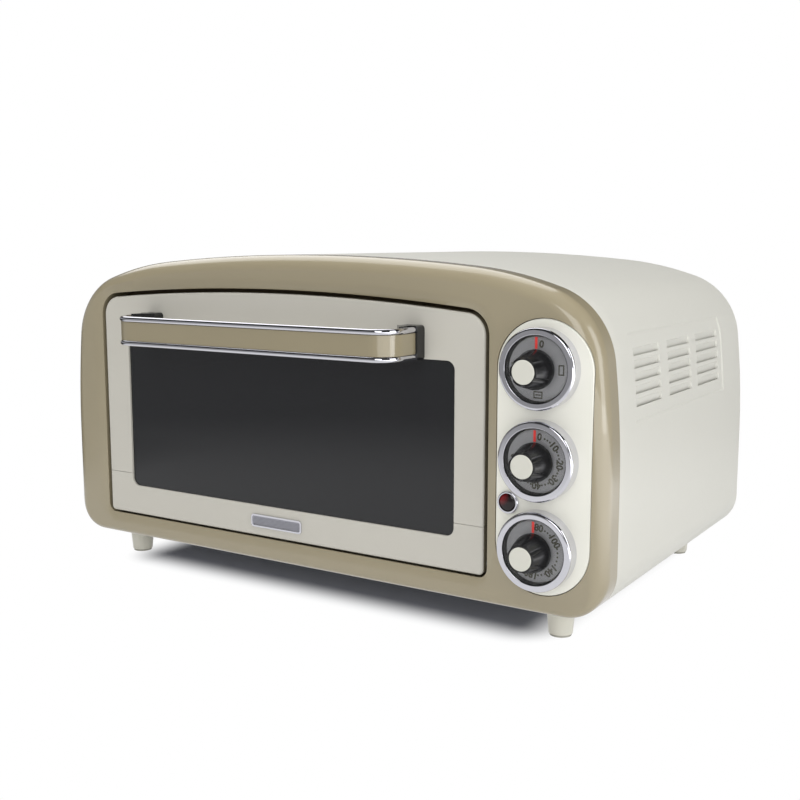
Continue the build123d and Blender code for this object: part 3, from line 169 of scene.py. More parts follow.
# Painted reflection: a bright floor patch at the right for a lit card, a near black one at the
# left for a black flag.
painted_card_aside = add_node(
    tree,
    "ShaderNodeMapRange",
    {"Value": split.outputs["X"], "From Min": painted_card_from * MM, "From Max": painted_card_to * MM},
)
painted_card_ahead = add_node(
    tree,
    "ShaderNodeMapRange",
    {"Value": split.outputs["Y"], "From Min": painted_card_rear * MM,
     "From Max": (painted_card_rear - painted_card_fade) * MM},
)
painted_card = add_node(
    tree, "ShaderNodeMath",
    {0: painted_card_aside.outputs["Result"], 1: painted_card_ahead.outputs["Result"]}, operation="MULTIPLY",
)
painted_flag_aside = add_node(
    tree,
    "ShaderNodeMapRange",
    {"Value": split.outputs["X"], "From Min": painted_flag_from * MM, "From Max": painted_flag_to * MM},
)
painted_flag_ahead = add_node(
    tree,
    "ShaderNodeMapRange",
    {"Value": split.outputs["Y"], "From Min": painted_flag_front * MM,
     "From Max": (painted_flag_front + painted_flag_fade) * MM},
)
painted_flag = add_node(
    tree, "ShaderNodeMath",
    {0: painted_flag_aside.outputs["Result"], 1: painted_flag_ahead.outputs["Result"]}, operation="MULTIPLY",
)
with_painted_card = add_node(
    tree,
    "ShaderNodeMapRange",
    {"Value": painted_card.outputs[0], "To Min": painted_reflection_level.outputs["Result"], "To Max": painted_card_shine},
)
with_painted_flag = add_node(
    tree,
    "ShaderNodeMapRange",
    {"Value": painted_flag.outputs[0], "To Min": with_painted_card.outputs["Result"], "To Max": painted_flag_shine},
)
painted_reflection = add_node(
    tree, "ShaderNodeEmission",
    {"Color": linear("ffffff"), "Strength": with_painted_flag.outputs["Result"]},
)
lit_for_camera = add_node(tree, "ShaderNodeMixShader", {0: path.outputs["Is Camera Ray"]})
tree.links.new(paper.outputs[0], lit_for_camera.inputs[1])
tree.links.new(seen.outputs[0], lit_for_camera.inputs[2])
lit = add_node(tree, "ShaderNodeMixShader", {0: path.outputs["Is Glossy Ray"]})
tree.links.new(lit_for_camera.outputs[0], lit.inputs[1])
tree.links.new(painted_reflection.outputs[0], lit.inputs[2])
add_node(tree, "ShaderNodeOutputMaterial", {"Surface": lit.outputs[0]})
bpy.ops.mesh.primitive_plane_add(size=floor_size * MM)
floor = bpy.context.object
floor.name = "floor"
floor.data.materials.append(sweep)

# World: white to the camera, soft fill to matt surfaces. Polished ones see a dark room with a
# pale wall low down and a long light high at the back.
room_fill = 0.55
room_levels = ((0.0, 0.36), (0.12, 0.30), (0.30, 0.05), (1.0, 0.03))
back_light = (-0.50, 0.35, 0.79)
back_from, back_to, back_shine = 0.85, 0.90, 1.9
world = bpy.data.worlds.new("studio")
world.use_nodes = True
world.node_tree.nodes.clear()
tree = world.node_tree
path = add_node(tree, "ShaderNodeLightPath")
looking = add_node(tree, "ShaderNodeTexCoord").outputs["Generated"]
upward = add_node(tree, "ShaderNodeSeparateXYZ", {"Vector": looking})
room = add_node(tree, "ShaderNodeValToRGB", {"Fac": upward.outputs["Z"]})
for stop, (height, shine) in enumerate(room_levels):
    if stop > 1:
        room.color_ramp.elements.new(height)
    room.color_ramp.elements[stop].position = height
    room.color_ramp.elements[stop].color = (shine, shine, shine, 1)
towards = add_node(
    tree, "ShaderNodeVectorMath", {0: looking, 1: back_light}, operation="DOT_PRODUCT"
)
back_level = add_node(
    tree,
    "ShaderNodeMapRange",
    {"Value": towards.outputs["Value"], "From Min": back_from, "From Max": back_to,
     "To Max": back_shine},
    interpolation_type="SMOOTHSTEP",
)
polished_level = add_node(
    tree, "ShaderNodeMath", {0: room.outputs["Color"], 1: back_level.outputs["Result"]},
    operation="ADD",
)
gloss_level = add_node(
    tree, "ShaderNodeMapRange",
    {"Value": path.outputs["Is Glossy Ray"], "To Min": room_fill,
     "To Max": polished_level.outputs[0]},
)
clear_rays = add_node(
    tree,
    "ShaderNodeMath",
    {0: path.outputs["Is Camera Ray"], 1: path.outputs["Is Transmission Ray"]},
    operation="MAXIMUM",
)
level = add_node(
    tree,
    "ShaderNodeMapRange",
    {"Value": clear_rays.outputs[0], "To Min": gloss_level.outputs["Result"], "To Max": 1.0},
)
sky = add_node(
    tree, "ShaderNodeBackground",
    {"Color": linear("ffffff"), "Strength": level.outputs["Result"]},
)
add_node(tree, "ShaderNodeOutputWorld", {"Surface": sky.outputs[0]})
bpy.context.scene.world = world

# Lamps: a large soft box overhead, kept out of reflections, a tall one at the right and a weak
# one in front. Each has its place, its aim and its size in millimetres, and its watts.
for name, place, aim, size, power in (
    ("overhead_box", (-50, -280, 1500), (0, 0, 100), (1500, 900), 13.0),
    ("right_box", (1500, -350, 600), (0, 0, 120), (700, 1300), 8.6),
    ("front_box", (450, -1600, 800), (0, 0, 120), (800, 800), 5.6),
):
    lamp = bpy.data.objects.new(name, bpy.data.lights.new(name, "AREA"))
    lamp.data.shape = "RECTANGLE"
    lamp.data.size = size[0] * MM
    lamp.data.size_y = size[1] * MM
    lamp.data.energy = power
    lamp.visible_glossy = name != "overhead_box"
    lamp.location = [value * MM for value in place]
    direction = Vector(aim) - Vector(place)
    lamp.rotation_euler = direction.to_track_quat("-Z", "Y").to_euler()
    bpy.context.scene.collection.objects.link(lamp)

# Case: one steel sheet rolled over flanks and crown and baked with cream enamel, smooth with a
# soft gloss. A shallow pad of pressed louvres lies in each flank. It stands for the plain sheet,
# whose louvres are straight cuts, on the same arcs. Rear panel and base plate match it.
half_width = 230.0
crown_height = 244.5
base_height = 21.8
base_corner = 27.0
base_lip = 30.0
sheet = 0.8
# Turn in degrees of the crown's half, then radius and turn of brow, shoulder and flank.
crown_turn = 5.43
side_arcs = ((257.7, 13.25), (53.4, 64.61), (678.8, 6.71))
pad_front, pad_rear = 50.0, 236.0
pad_low, pad_high = 141.5, 195.5
pad_depth = 0.7
pad_edge = 1.4
pad_margin = 0.3
pad_clearance = 1.0
pad_steps = (pad_edge + pad_margin, pad_edge, pad_edge / 2, 0)
louvres = ((53.3, 100.5), (116.2, 163.6), (177.0, 228.0))
louvre_height = 5.2
louvre_pitch = 8.1
louvre_middle = 168.9
louvre_dent = 1.9
louvre_end = 0.8
louvre_tail = 1.2
louvre_lip, louvre_lip_share = 0.12, 0.2
louvre_parts = (0, 0.05, louvre_lip, 0.22, 0.4, 0.6, 0.8, 1.0)
louvre_end_parts = 4
cut = 0.06
crown_steps, brow_steps, shoulder_steps, corner_steps = 14, 8, 12, 12
flank_rows = (130.0, 116.0)
front_column, rear_column = 36.0, 255.0


def noise(tree, size, detail=2.0):
    """Noise with blotches of `size` millimetres, fixed to the object."""
    place = add_node(tree, "ShaderNodeTexCoord").outputs["Object"]
    inputs = {"Vector": place, "Scale": 1 / (size * MM), "Detail": detail}
    return add_node(tree, "ShaderNodeTexNoise", inputs).outputs[0]


gloss_drift = 0.15


def surface(name, shades, gloss, tint_size=60, grain_size=1.0, relief=0.1, strength=0.1, **more):
    """Material whose colour drifts between two shades, with a fine grain in relief and gloss.

    Sizes are in millimetres: the drift is the batch's own unevenness, and the grain its orange
    peel, mould texture or grit, which is drawn no finer than 0.4 mm so that it shows.
    """
    material, tree = new_tree(name)
    mix_inputs = {
        "Factor": noise(tree, tint_size, 3), "A": linear(shades[0]), "B": linear(shades[1])
    }
    shade = add_node(tree, "ShaderNodeMix", mix_inputs, data_type="RGBA")
    grain = noise(tree, grain_size)
    dullest, glossiest = gloss * (1 + gloss_drift), gloss * (1 - gloss_drift)
    range_inputs = {"Value": grain, "To Min": glossiest, "To Max": dullest}
    dull = add_node(tree, "ShaderNodeMapRange", range_inputs)
    bump_inputs = {"Height": grain, "Strength": strength, "Distance": relief * MM}
    bump = add_node(tree, "ShaderNodeBump", bump_inputs)
    inputs = {
        "Base Color": shade.outputs["Result"],
        "Roughness": dull.outputs["Result"],
        "Normal": bump.outputs[0],
    }
    inputs.update({key.replace("_", " "): value for key, value in more.items()})
    body = add_node(tree, "ShaderNodeBsdfPrincipled", inputs)
    add_node(tree, "ShaderNodeOutputMaterial", {"Surface": body.outputs[0]})
    return material


def finish_nodes(material, names):
    """Gives CAD nodes their material."""
    for name in names:
        nodes[name].data.materials.clear()
        nodes[name].data.materials.append(material)


def piece(name, points, faces, material, body, sharp=35):
    """New object from points in millimetres, smooth except over edges of `sharp` degrees."""
    mesh = bpy.data.meshes.new(name)
    mesh.from_pydata([[value * MM for value in point] for point in points], [], faces)
    mesh.polygons.foreach_set("use_smooth", [True] * len(mesh.polygons))
    mesh.set_sharp_from_angle(angle=radians(sharp))
    mesh.materials.append(material)
    thing = bpy.data.objects.new(name, mesh)
    bpy.context.scene.collection.objects.link(thing)
    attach(thing, body)
    return thing


def skin(rows, columns, closed=False):
    """Quads between `rows` rows of `columns` points each; `closed` joins each row's ends."""
    faces = []
    for row in range(rows - 1):
        for column in range(columns if closed else columns - 1):
            beside = (column + 1) % columns
            low, high = row * columns, (row + 1) * columns
            faces.append((low + column, low + beside, high + beside, high + column))
    return faces


enamel = surface(
    "cream_baked_enamel", ("cbcac2", "cfcec6"), 0.36, tint_size=140, grain_size=2.2, strength=0.05
)


def smooth(low, high, value):
    """0 below `low`, 1 above `high`, and an even curve between."""
    part = min(max((value - low) / (high - low), 0.0), 1.0)
    return part * part * (3 - 2 * part)


def arc_spans():
    """Centre, radius, start and end angle of the case's four arcs, from the crown down.

    Each arc leaves the one above without a kink, and the crown's radius takes up the width.
    """
    angle = radians(crown_turn)
    turned = []
    for radius, turn in side_arcs:
        turned.append((radius, angle, angle + radians(turn)))
        angle += radians(turn)
    lower = sum(radius * (sin(high) - sin(low)) for radius, low, high in turned)
    crown_radius = (half_width - lower) / sin(radians(crown_turn))
    turned.insert(0, (crown_radius, 0.0, radians(crown_turn)))
    x, z, previous = 0.0, crown_height, 0.0
    found = []
    for radius, low, high in turned:
        x += (previous - radius) * sin(low)
        z += (previous - radius) * cos(low)
        previous = radius
        found.append((x, z, radius, low, high))
    return found


spans = arc_spans()
shoulder, flank = spans[2:]
upright_z = flank[1]


def on_arc(span, angle):
    """Station on an arc: its point, and the direction out of the case there."""
    x, z, radius = span[:3]
    return (x + radius * sin(angle), z + radius * cos(angle), sin(angle), cos(angle))


def along_arcs(chosen, steps):
    """Stations down some of the arcs, each cut into its number of steps."""
    found = []
    for span, count in zip(chosen, steps):
        start, end = span[3:]
        found += [on_arc(span, start + (end - start) * step / count) for step in range(count)]
    return found


def foot_corner(steps):
    """Stations round the case's lower corner, from the flank to the base."""
    turned = []
    for step in range(steps + 1):
        angle = pi / 2 * (1 + step / steps)
        turned.append(
            (half_width - base_corner + base_corner * sin(angle),
             base_height + base_corner + base_corner * cos(angle), sin(angle), cos(angle))
        )
    return turned


def flank_at(height):
    """Station on the flank or the shoulder at `height`."""
    _, z, radius, _, end = shoulder
    span = shoulder if height > z + radius * cos(end) else flank
    return on_arc(span, acos((height - span[1]) / span[2]))


def louvre_levels():
    """Heights of the mesh rows in the pad, from its top down, and the kind of each row."""
    levels = [(pad_high + step, "pad") for step in pad_steps]
    for row in (2, 1, 0, -1, -2):
        top = louvre_middle + row * louvre_pitch + louvre_height / 2
        levels += [(top - louvre_height * part, part) for part in louvre_parts]
        levels += [(top - louvre_height - cut, "tail"), (top - louvre_height - 2 * cut, "lip")]
    return levels + [(pad_low - step, "pad") for step in reversed(pad_steps)]


def louvre_share(depth):
    """1 along a louvre's middle, 0 beyond its ends."""
    share = 0.0
    for front, rear in louvres:
        share += smooth(front, front + louvre_end, depth) - smooth(rear - louvre_end, rear, depth)
    return share


def pressed(depth, height, kind):
    """How far the flank is pressed in, and down, at a depth and height."""
    across = smooth(pad_front - pad_edge, pad_front, depth)
    across -= smooth(pad_rear, pad_rear + pad_edge, depth)
    along = smooth(pad_low - pad_edge, pad_low, height)
    along -= smooth(pad_high, pad_high + pad_edge, height)
    dent, drop = pad_depth * across * along, 0.0
    if kind == "tail":
        dent += louvre_dent * louvre_share(depth)
        drop = louvre_tail * louvre_share(depth)
    elif kind not in ("pad", "lip"):
        slope = louvre_lip_share * smooth(0, louvre_lip, kind) + (1 - louvre_lip_share) * kind
        dent += louvre_dent * slope * louvre_share(depth)
    return dent, drop


stations = along_arcs(spans[:2], (crown_steps, brow_steps))
_, shoulder_z, shoulder_radius, shoulder_start, _ = shoulder
pad_start = acos((pad_high + pad_edge + pad_clearance - shoulder_z) / shoulder_radius)
for step in range(shoulder_steps + 1):
    turned = (pad_start - shoulder_start) * step / shoulder_steps
    stations.append(on_arc(shoulder, shoulder_start + turned))
kinds = ["pad"] * len(stations)
levels = louvre_levels()
stations += [flank_at(level) for level, kind in levels]
kinds += [kind for level, kind in levels]
stations += [flank_at(level) for level in (*flank_rows, upright_z)]
stations += foot_corner(corner_steps)
stations.append((half_width - base_corner - base_lip, base_height, 0.0, -1.0))
kinds += ["pad"] * (len(stations) - len(kinds))
stations = [(-x, z, -out, up) for x, z, out, up in stations[:0:-1]] + stations
kinds = kinds[:0:-1] + kinds

wrap_low, wrap_high = box_mm("body_wrap")
depths = [wrap_low.y - face_y, front_column]
depths += [pad_front - step for step in pad_steps]
end_steps = [louvre_end * part / louvre_end_parts for part in range(louvre_end_parts + 2)]
for front, rear in louvres:
    depths += [front + step for step in end_steps] + [(front + rear) / 2]
    depths += [rear - step for step in reversed(end_steps)]
depths += [pad_rear + step for step in reversed(pad_steps)]
depths += [rear_column, wrap_high.y - face_y]
points = []
for (x, z, out, up), kind in zip(stations, kinds):
    for depth in depths:
        dent, drop = pressed(depth, z, kind)
        points.append((x - out * dent, face_y + depth, z - up * dent - drop))
faces = []
for quad in skin(len(stations), len(depths)):
    row, column = divmod(quad[0], len(depths))
    slit = {kinds[row], kinds[row + 1]} == {"tail", "lip"}
    if not (slit and louvre_share((depths[column] + depths[column + 1]) / 2) > 0):
        faces.append(quad[::-1])
case_wrap = piece("case_wrap", points, faces, enamel, "case", sharp=25)
wall = case_wrap.modifiers.new("sheet", "SOLIDIFY")
wall.thickness = sheet * MM
even = case_wrap.modifiers.new("even_shading", "WEIGHTED_NORMAL")
even.keep_sharp = True
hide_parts("body_wrap")
finish_nodes(enamel, ["rear_panel", "base_plate"])

# Front bezel: ABS moulding sprayed khaki under a clear coat, so it mirrors the soft boxes. Its
# round edge is wide at crown and sides and tight along the foot; it stands for the even one. It
# is screwed on from behind and closes on the case, the door and the control plate.
bezel_depth = 22.0
bezel_wall = 3.0
edge_wide, edge_tight = 11.0, 4.5
edge_steps = 10
door_left, door_right, door_bottom = -192.9, 146.1, 39.4
door_crown_x, door_crown_z, door_crown_radius = -32.4, 217.3, 1700.0
door_top_corner, door_bottom_corner = 14.5, 3.5
door_gap, sill_gap = 3.0, 1.5
bevel_width, bevel_depth = 7.5, 2.2
lip_wall = 2.5
plate_x, plate_low, plate_high, plate_radius, plate_gap = 188.2, 66.6, 175.7, 32.1, 0.4
cutter_past = 1.0
arch_steps, arch_corner_steps = (14, 8, 30, 10), 16
top_arc_steps, low_arc_steps, long_arc_steps = 12, 6, 40

khaki = surface(
    "khaki_lacquered_abs", ("968c73", "998f76"), 0.34, tint_size=90, grain_size=7,
    relief=0.2, strength=0.02, Coat_Weight=1.0, Coat_Roughness=0.04,
)


def arc(centre_x, centre_z, radius, start, end, steps):
    """Points on an arc between two angles in degrees, counted from +X towards +Z."""
    angles = [radians(start + (end - start) * step / steps) for step in range(steps + 1)]
    return [(centre_x + radius * cos(angle), centre_z + radius * sin(angle)) for angle in angles]


def door_loop(grow, low):
    """The door's outline `grow` larger at top and sides, with its bottom edge at `low`."""
    centre_z = door_crown_z - door_crown_radius
    left, right = door_left + door_top_corner, door_right - door_top_corner
    reach = door_crown_radius - door_top_corner
    lean = [degrees(asin((x - door_crown_x) / reach)) for x in (left, right)]
    tops = [centre_z + reach * cos(radians(angle)) for angle in lean]
    round_top, round_low = door_top_corner + grow, door_bottom_corner + grow
    lean_left, lean_right = (90 - angle for angle in lean)
    crown_radius = door_crown_radius + grow
    loop = arc(left, tops[0], round_top, 180, lean_left, top_arc_steps)
    crown = arc(door_crown_x, centre_z, crown_radius, lean_left, lean_right, long_arc_steps)
    loop += crown[1:-1] + arc(right, tops[1], round_top, lean_right, 0, top_arc_steps)
    for corner_x, start in (
        (door_right - door_bottom_corner, 0), (door_left + door_bottom_corner, -90)
    ):
        loop += arc(corner_x, low + round_low, round_low, start, start - 90, low_arc_steps)
    return loop


def plate_loop():
    """The control plate's opening."""
    radius = plate_radius + plate_gap
    top = arc(plate_x, plate_high, radius, 180, 0, long_arc_steps)
    return top + arc(plate_x, plate_low, radius, 0, -180, long_arc_steps)


def rounded(inset, rear):
    """Rings of the arch `inset` inside, with its front edge rounded, back to `rear`."""
    rings = [[(x - out * inset, rear, z - up * inset) for x, z, out, up in arch]]
    for step in range(edge_steps + 1):
        turn = pi / 2 * step / edge_steps
        ring = []
        for x, z, out, up in arch:
            radius = edge_tight + (edge_wide - edge_tight) * smooth(-1.0, 0.0, up) - inset
            aside = inset + radius * (1 - cos(turn))
            depth = inset + radius * (1 - sin(turn))
            ring.append((x - out * aside, depth, z - up * aside))
        rings.append(ring)
    return rings


def at_depth(loop, depth):
    """A flat loop as a ring at a depth behind the bezel's face."""
    return [(x, depth, z) for x, z in loop]


def capped_skin(rings, count):
    """Skin round `rings` closed rings of `count` points each, with both ends capped."""
    last = rings * count - 1
    caps = [tuple(range(count)), tuple(last - index for index in range(count))]
    return skin(rings, count, closed=True) + caps


def block(rings):
    """Closed solid skinned over rings of (x, depth, z), as an object outside the collection."""
    points = [(x * MM, (face_y + depth) * MM, z * MM) for ring in rings for x, depth, z in ring]
    mesh = bpy.data.meshes.new("block")
    mesh.from_pydata(points, [], capped_skin(len(rings), len(rings[0])))
    shape = bmesh.new()
    shape.from_mesh(mesh)
    bmesh.ops.recalc_face_normals(shape, faces=shape.faces)
    shape.to_mesh(mesh)
    shape.free()
    return bpy.data.objects.new("block", mesh)


half_arch = along_arcs(spans, arch_steps)
half_arch.append((half_width, upright_z, 1.0, 0.0))
half_arch += foot_corner(arch_corner_steps)
arch = half_arch[1:] + [(-x, z, -out, up) for x, z, out, up in reversed(half_arch[1:])]
arch.append(half_arch[0])

cutter_rear = bezel_depth + cutter_past
sill_z, lip_z = door_bottom - sill_gap, door_bottom - door_gap
bevel = bevel_width * (1 + cutter_past / bevel_depth)
opening = [
    at_depth(door_loop(door_gap + bevel, sill_z - bevel), -cutter_past),
    at_depth(door_loop(door_gap, sill_z), bevel_depth),
    at_depth(door_loop(door_gap, sill_z), bevel_depth + cutter_past),
    at_depth(door_loop(door_gap, lip_z), bevel_depth + cutter_past),
    at_depth(door_loop(door_gap, lip_z), cutter_rear),
]
lip = door_loop(door_gap + lip_wall, lip_z - lip_wall)
plate_hole = [at_depth(plate_loop(), depth) for depth in (-cutter_past, cutter_rear)]
shapes = [
    ("DIFFERENCE", block(rounded(bezel_wall, cutter_rear))),
    ("UNION", block([at_depth(lip, bezel_wall / 2), at_depth(lip, bezel_depth)])),
    ("DIFFERENCE", block(opening)),
    ("DIFFERENCE", block(plate_hole)),
]
body = block(rounded(0.0, bezel_depth))
blocks = [body] + [shape for _, shape in shapes]
for thing in blocks:
    bpy.context.scene.collection.objects.link(thing)
for operation, shape in shapes:
    step = body.modifiers.new(operation, "BOOLEAN")
    step.operation = operation
    step.object = shape
    step.solver = "EXACT"
solid = body.evaluated_get(bpy.context.evaluated_depsgraph_get()).to_mesh()
corners = [[value / MM for value in vertex.co] for vertex in solid.vertices]
outline = [tuple(polygon.vertices) for polygon in solid.polygons]
for thing in blocks:
    bpy.data.objects.remove(thing)
moulding = piece("bezel_moulding", corners, outline, khaki, "case", sharp=25)
even = moulding.modifiers.new("even_shading", "WEIGHTED_NORMAL")
even.keep_sharp = True
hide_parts("front_bezel")

# Door frame and lower rail: pressed steel in satin cream paint, a shade greyer than the case and
# a little duller. Their turned-in edges are dark brown, a painted shade for the gap round the
# door.
edge_depth = 3.6


def finish_faces(name, material, chosen):
    """Gives a second material to those faces of a CAD node that `chosen` picks."""
    mesh = nodes[name].data
    mesh.materials.append(material)
    for polygon in mesh.polygons:
        if chosen(polygon.center / MM, polygon.normal):
            polygon.material_index = len(mesh.materials) - 1


satin = surface(
    "satin_cream_paint", ("c0bdb3", "c2bfb6"), 0.42, tint_size=110, grain_size=1.2, strength=0.08
)
finish_nodes(satin, ["door_frame", "door_lower_rail"])
# Painted shade: the turned-in edges are dark brown and stand for the shade in the gap round the
# door.
gap_shade_edge_paint = surface("brown_painted_gap_shade", ("7b7362", "857d6b"), 0.6, tint_size=40)
for name in ("door_frame", "door_lower_rail"):
    finish_faces(name, gap_shade_edge_paint, lambda centre, normal: centre.y > face_y + edge_depth)

# Control plate: pale cream ABS, moulded in one shot, with the even, soft sheen of a polished
# mould. It drops into the bezel's opening.
cream_abs = surface(
    "moulded_cream_abs", ("e6e5da", "eae9df"), 0.3, tint_size=40, grain_size=0.8, strength=0.05
)
finish_nodes(cream_abs, ["control_plate"])

# Knob caps: ivory urea, compression moulded, which gives an even skin as smooth as china. They
# are pressed into the knobs' ends.
ivory = surface(
    "ivory_urea", ("cbcac0", "cfcec4"), 0.3, tint_size=20, grain_size=0.8, strength=0.05
)
finish_nodes(ivory, ["function_knob_cap", "timer_knob_cap", "thermostat_knob_cap"])

# Feet: pale ABS, moulded as cones with a soft sheen and screwed under the base. Each stands on a
# pad of pale, matt rubber.
foot_abs = surface(
    "pale_foot_abs", ("dbd9cd", "dfddd2"), 0.3, tint_size=20, grain_size=0.8, strength=0.05
)
finish_nodes(foot_abs, ["feet"])
rubber = surface("pale_foot_rubber", ("a9a79d", "b3b1a7"), 0.75, tint_size=6, grain_size=0.5)
finish_nodes(rubber, ["foot_pads"])

# Chrome: dial rings, lamp ring and badge, plated and polished, so that they mirror the room. The
# faces of the rings' bores that look towards their axes are black, and the dials sit in a dark
# well.
chrome = surface(
    "bright_chrome_plate", ("dadae2", "e0e0e6"), 0.06, tint_size=12, grain_size=5,
    strength=0.01, Metallic=1.0,
)
finish_nodes(
    chrome, ["function_ring", "timer_ring", "thermostat_ring", "lamp_bezel", "door_badge"]
)
black_wall = surface("black_bore_colour", ("121213", "171718"), 0.35, tint_size=8)
bore_facing = -0.8


def blacken_bore(name):
    """Colours black those faces of a ring that look towards its own axis."""
    low, high = box_mm(name)
    middle = (low + high) / 2

    def faces_axis(centre, normal):
        aside = Vector((centre.x - middle.x, 0, centre.z - middle.z)).normalized()
        return aside.dot(normal) < bore_facing

    finish_faces(name, black_wall, faces_axis)


for name in ("function_ring", "timer_ring", "thermostat_ring", "lamp_bezel"):
    blacken_bore(name)

# Handle: a steel strap in the bezel's lacquer, a shade darker, between two chromed bars that are
# bent round its ends. The bars stand for the plain square ones, with a rounded section that
# catches a bright line along its front.
rail_depth = 4.6
rail_bend = 17.0
rail_round = 1.85
rail_corner_steps = 5
bend_steps = 10

strap_paint = surface(
    "khaki_strap_paint", ("8f856b", "92886e"), 0.34, tint_size=90, grain_size=7,
    relief=0.2, strength=0.02, Coat_Weight=1.0, Coat_Roughness=0.04,
)
finish_nodes(strap_paint, ["handle_strap"])


def rail(name):
    """Sweeps a rounded section along the handle: leg, bend, front, bend, leg."""
    low, high = box_mm(name)
    section = []
    for out, up, first in ((0, 1, 0), (-1, 1, 1), (-1, 0, 2), (0, 0, 3)):
        centre = (
            -rail_round if out == 0 else -rail_depth + rail_round,
            (high.z - rail_round) if up else (low.z + rail_round),
        )
        for step in range(rail_corner_steps + 1):
            angle = pi / 2 * (first + step / rail_corner_steps)
            section.append(
                (centre[0] + rail_round * cos(angle), centre[1] + rail_round * sin(angle))
            )
    path = [(low.x, high.y, -1.0, 0.0)]
    for centre_x, start in ((low.x + rail_bend, pi), (high.x - rail_bend, 1.5 * pi)):
        for step in range(bend_steps + 1):
            angle = start + pi / 2 * step / bend_steps
            out_x, out_y = cos(angle), sin(angle)
            x, y = centre_x + rail_bend * out_x, low.y + rail_bend * (1 + out_y)
            path.append((x, y, out_x, out_y))
    path.append((high.x, high.y, 1.0, 0.0))
    points = [
        (x + out_x * out, y + out_y * out, z)
        for x, y, out_x, out_y in path
        for out, z in section
    ]
    faces = capped_skin(len(path), len(section))
    chromed = piece(name.replace("handle_", "chrome_"), points, faces, chrome, "door", sharp=50)
    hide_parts(name)


rail("handle_rail_lower")
rail("handle_rail_upper")

# Dials: grey ABS cups, moulded matt and screen printed in dark olive with figures, dots and plain
# signs, whose tops face out. The prints are thin sheets of ink just off the cups' faces.
print_lift = 0.03
figure_radius = 15.1
figure_size = 6.1
figure_weight = 0.26
dot_radius = 0.65
ink = surface("dark_screen_ink", ("353423", "3e3c2a"), 0.5, tint_size=3, grain_size=0.4)
dial_grey = surface(
    "grey_printed_abs", ("929395", "9a9a9d"), 0.5, tint_size=20, grain_size=0.5, strength=0.1
)
finish_nodes(dial_grey, ["function_dial", "timer_dial", "thermostat_dial"])


def figure(text):
    """Outline of printed text as flat points and faces, centred on its own middle."""
    words = bpy.data.curves.new("figure", "FONT")
    words.body = text
    words.size = figure_size
    words.resolution_u = 3
    words.offset = figure_weight
    words.align_x = "CENTER"
    words.align_y = "CENTER"
    letters = bpy.data.objects.new("figure", words)
    mesh = bpy.data.meshes.new_from_object(letters)
    flat = [(vertex.co.x, vertex.co.y) for vertex in mesh.vertices]
    outline = [tuple(polygon.vertices) for polygon in mesh.polygons]
    bpy.data.objects.remove(letters)
    bpy.data.curves.remove(words)
    bpy.data.meshes.remove(mesh)
    return flat, outline


def disc(radius, sides=12):
    """A printed dot."""
    turn = 2 * pi / sides
    flat = [(radius * cos(turn * side), radius * sin(turn * side)) for side in range(sides)]
    return flat, [tuple(range(sides))]


def bar(width, height):
    """A printed stroke."""
    corners = ((-1, -1), (1, -1), (1, 1), (-1, 1))
    return [(x * width / 2, y * height / 2) for x, y in corners], [(0, 1, 2, 3)]


def frame_sign(width, height, line):
    """A printed rectangle, drawn as an outline."""
    outer = bar(width, height)[0]
    inner = bar(width - 2 * line, height - 2 * line)[0]
    faces = [(side, (side + 1) % 4, 4 + (side + 1) % 4, 4 + side) for side in range(4)]
    return outer + inner, faces


def dial_print(dial, marks):
    """Puts marks on a dial: each a drawing, its radius and its angle clockwise from the top."""
    low, high = box_mm(dial)
    centre = (low + high) / 2
    points = []
    faces = []
    for (flat, outline), radius, angle in marks:
        along, up = cos(radians(angle)), sin(radians(angle))
        start = len(points)
        for u, v in flat:
            points.append(
                (centre.x + (radius + v) * up + u * along, low.y - print_lift,
                 centre.z + (radius + v) * along - u * up)
            )
        faces += [tuple(start + index for index in face) for face in outline]
    printed = piece(dial + "_print", points, faces, ink, "case")


def dots_between(start, end, count):
    """Evenly spaced dots between two angles."""
    step = (end - start) / (count + 1)
    return [(disc(dot_radius), figure_radius, start + step * (dot + 1)) for dot in range(count)]


# Each scale's figures with their angles clockwise from the top, and the dots between them.
narrow_margin, wide_margin = 6, 9
minute_dots = 3
minutes = (("0", 6), ("10", 48), ("20", 93), ("30", 134), ("40", 180), ("50", 225), ("60", 270))
timer_marks = [(figure(text), figure_radius, angle) for text, angle in minutes]
for (_, start), (_, end) in zip(minutes, minutes[1:]):
    timer_marks += dots_between(start + narrow_margin, end - narrow_margin, minute_dots)
dial_print("timer_dial", timer_marks)

heats = (("80", 8), ("100", 57), ("140", 135), ("180", 190), ("220", 240))
heat_dots = (3, 5, 3, 3)
heat_marks = [(figure(text), figure_radius, angle) for text, angle in heats]
for (_, start), (_, end), count in zip(heats, heats[1:], heat_dots):
    heat_marks += dots_between(start + wide_margin, end - wide_margin, count)
dial_print("thermostat_dial", heat_marks)

# The heating modes: an empty oven, and the same with one rod and with two.
sign_line = 0.8
side_sign, box_sign = (6.4, 3.8), (6.1, 4.5)
sign_radius, rod_length, rod_apart = 15.9, 3.6, 0.9
function_marks = [
    (figure("0"), figure_radius, 7),
    (frame_sign(*side_sign, sign_line), figure_radius, 90),
    (frame_sign(*box_sign, sign_line), sign_radius, 180),
    (bar(rod_length, sign_line), sign_radius, 180),
    (frame_sign(*box_sign, sign_line), sign_radius, 270),
    (bar(rod_length, sign_line), sign_radius + rod_apart, 270),
    (bar(rod_length, sign_line), sign_radius - rod_apart, 270),
]
dial_print("function_dial", function_marks)

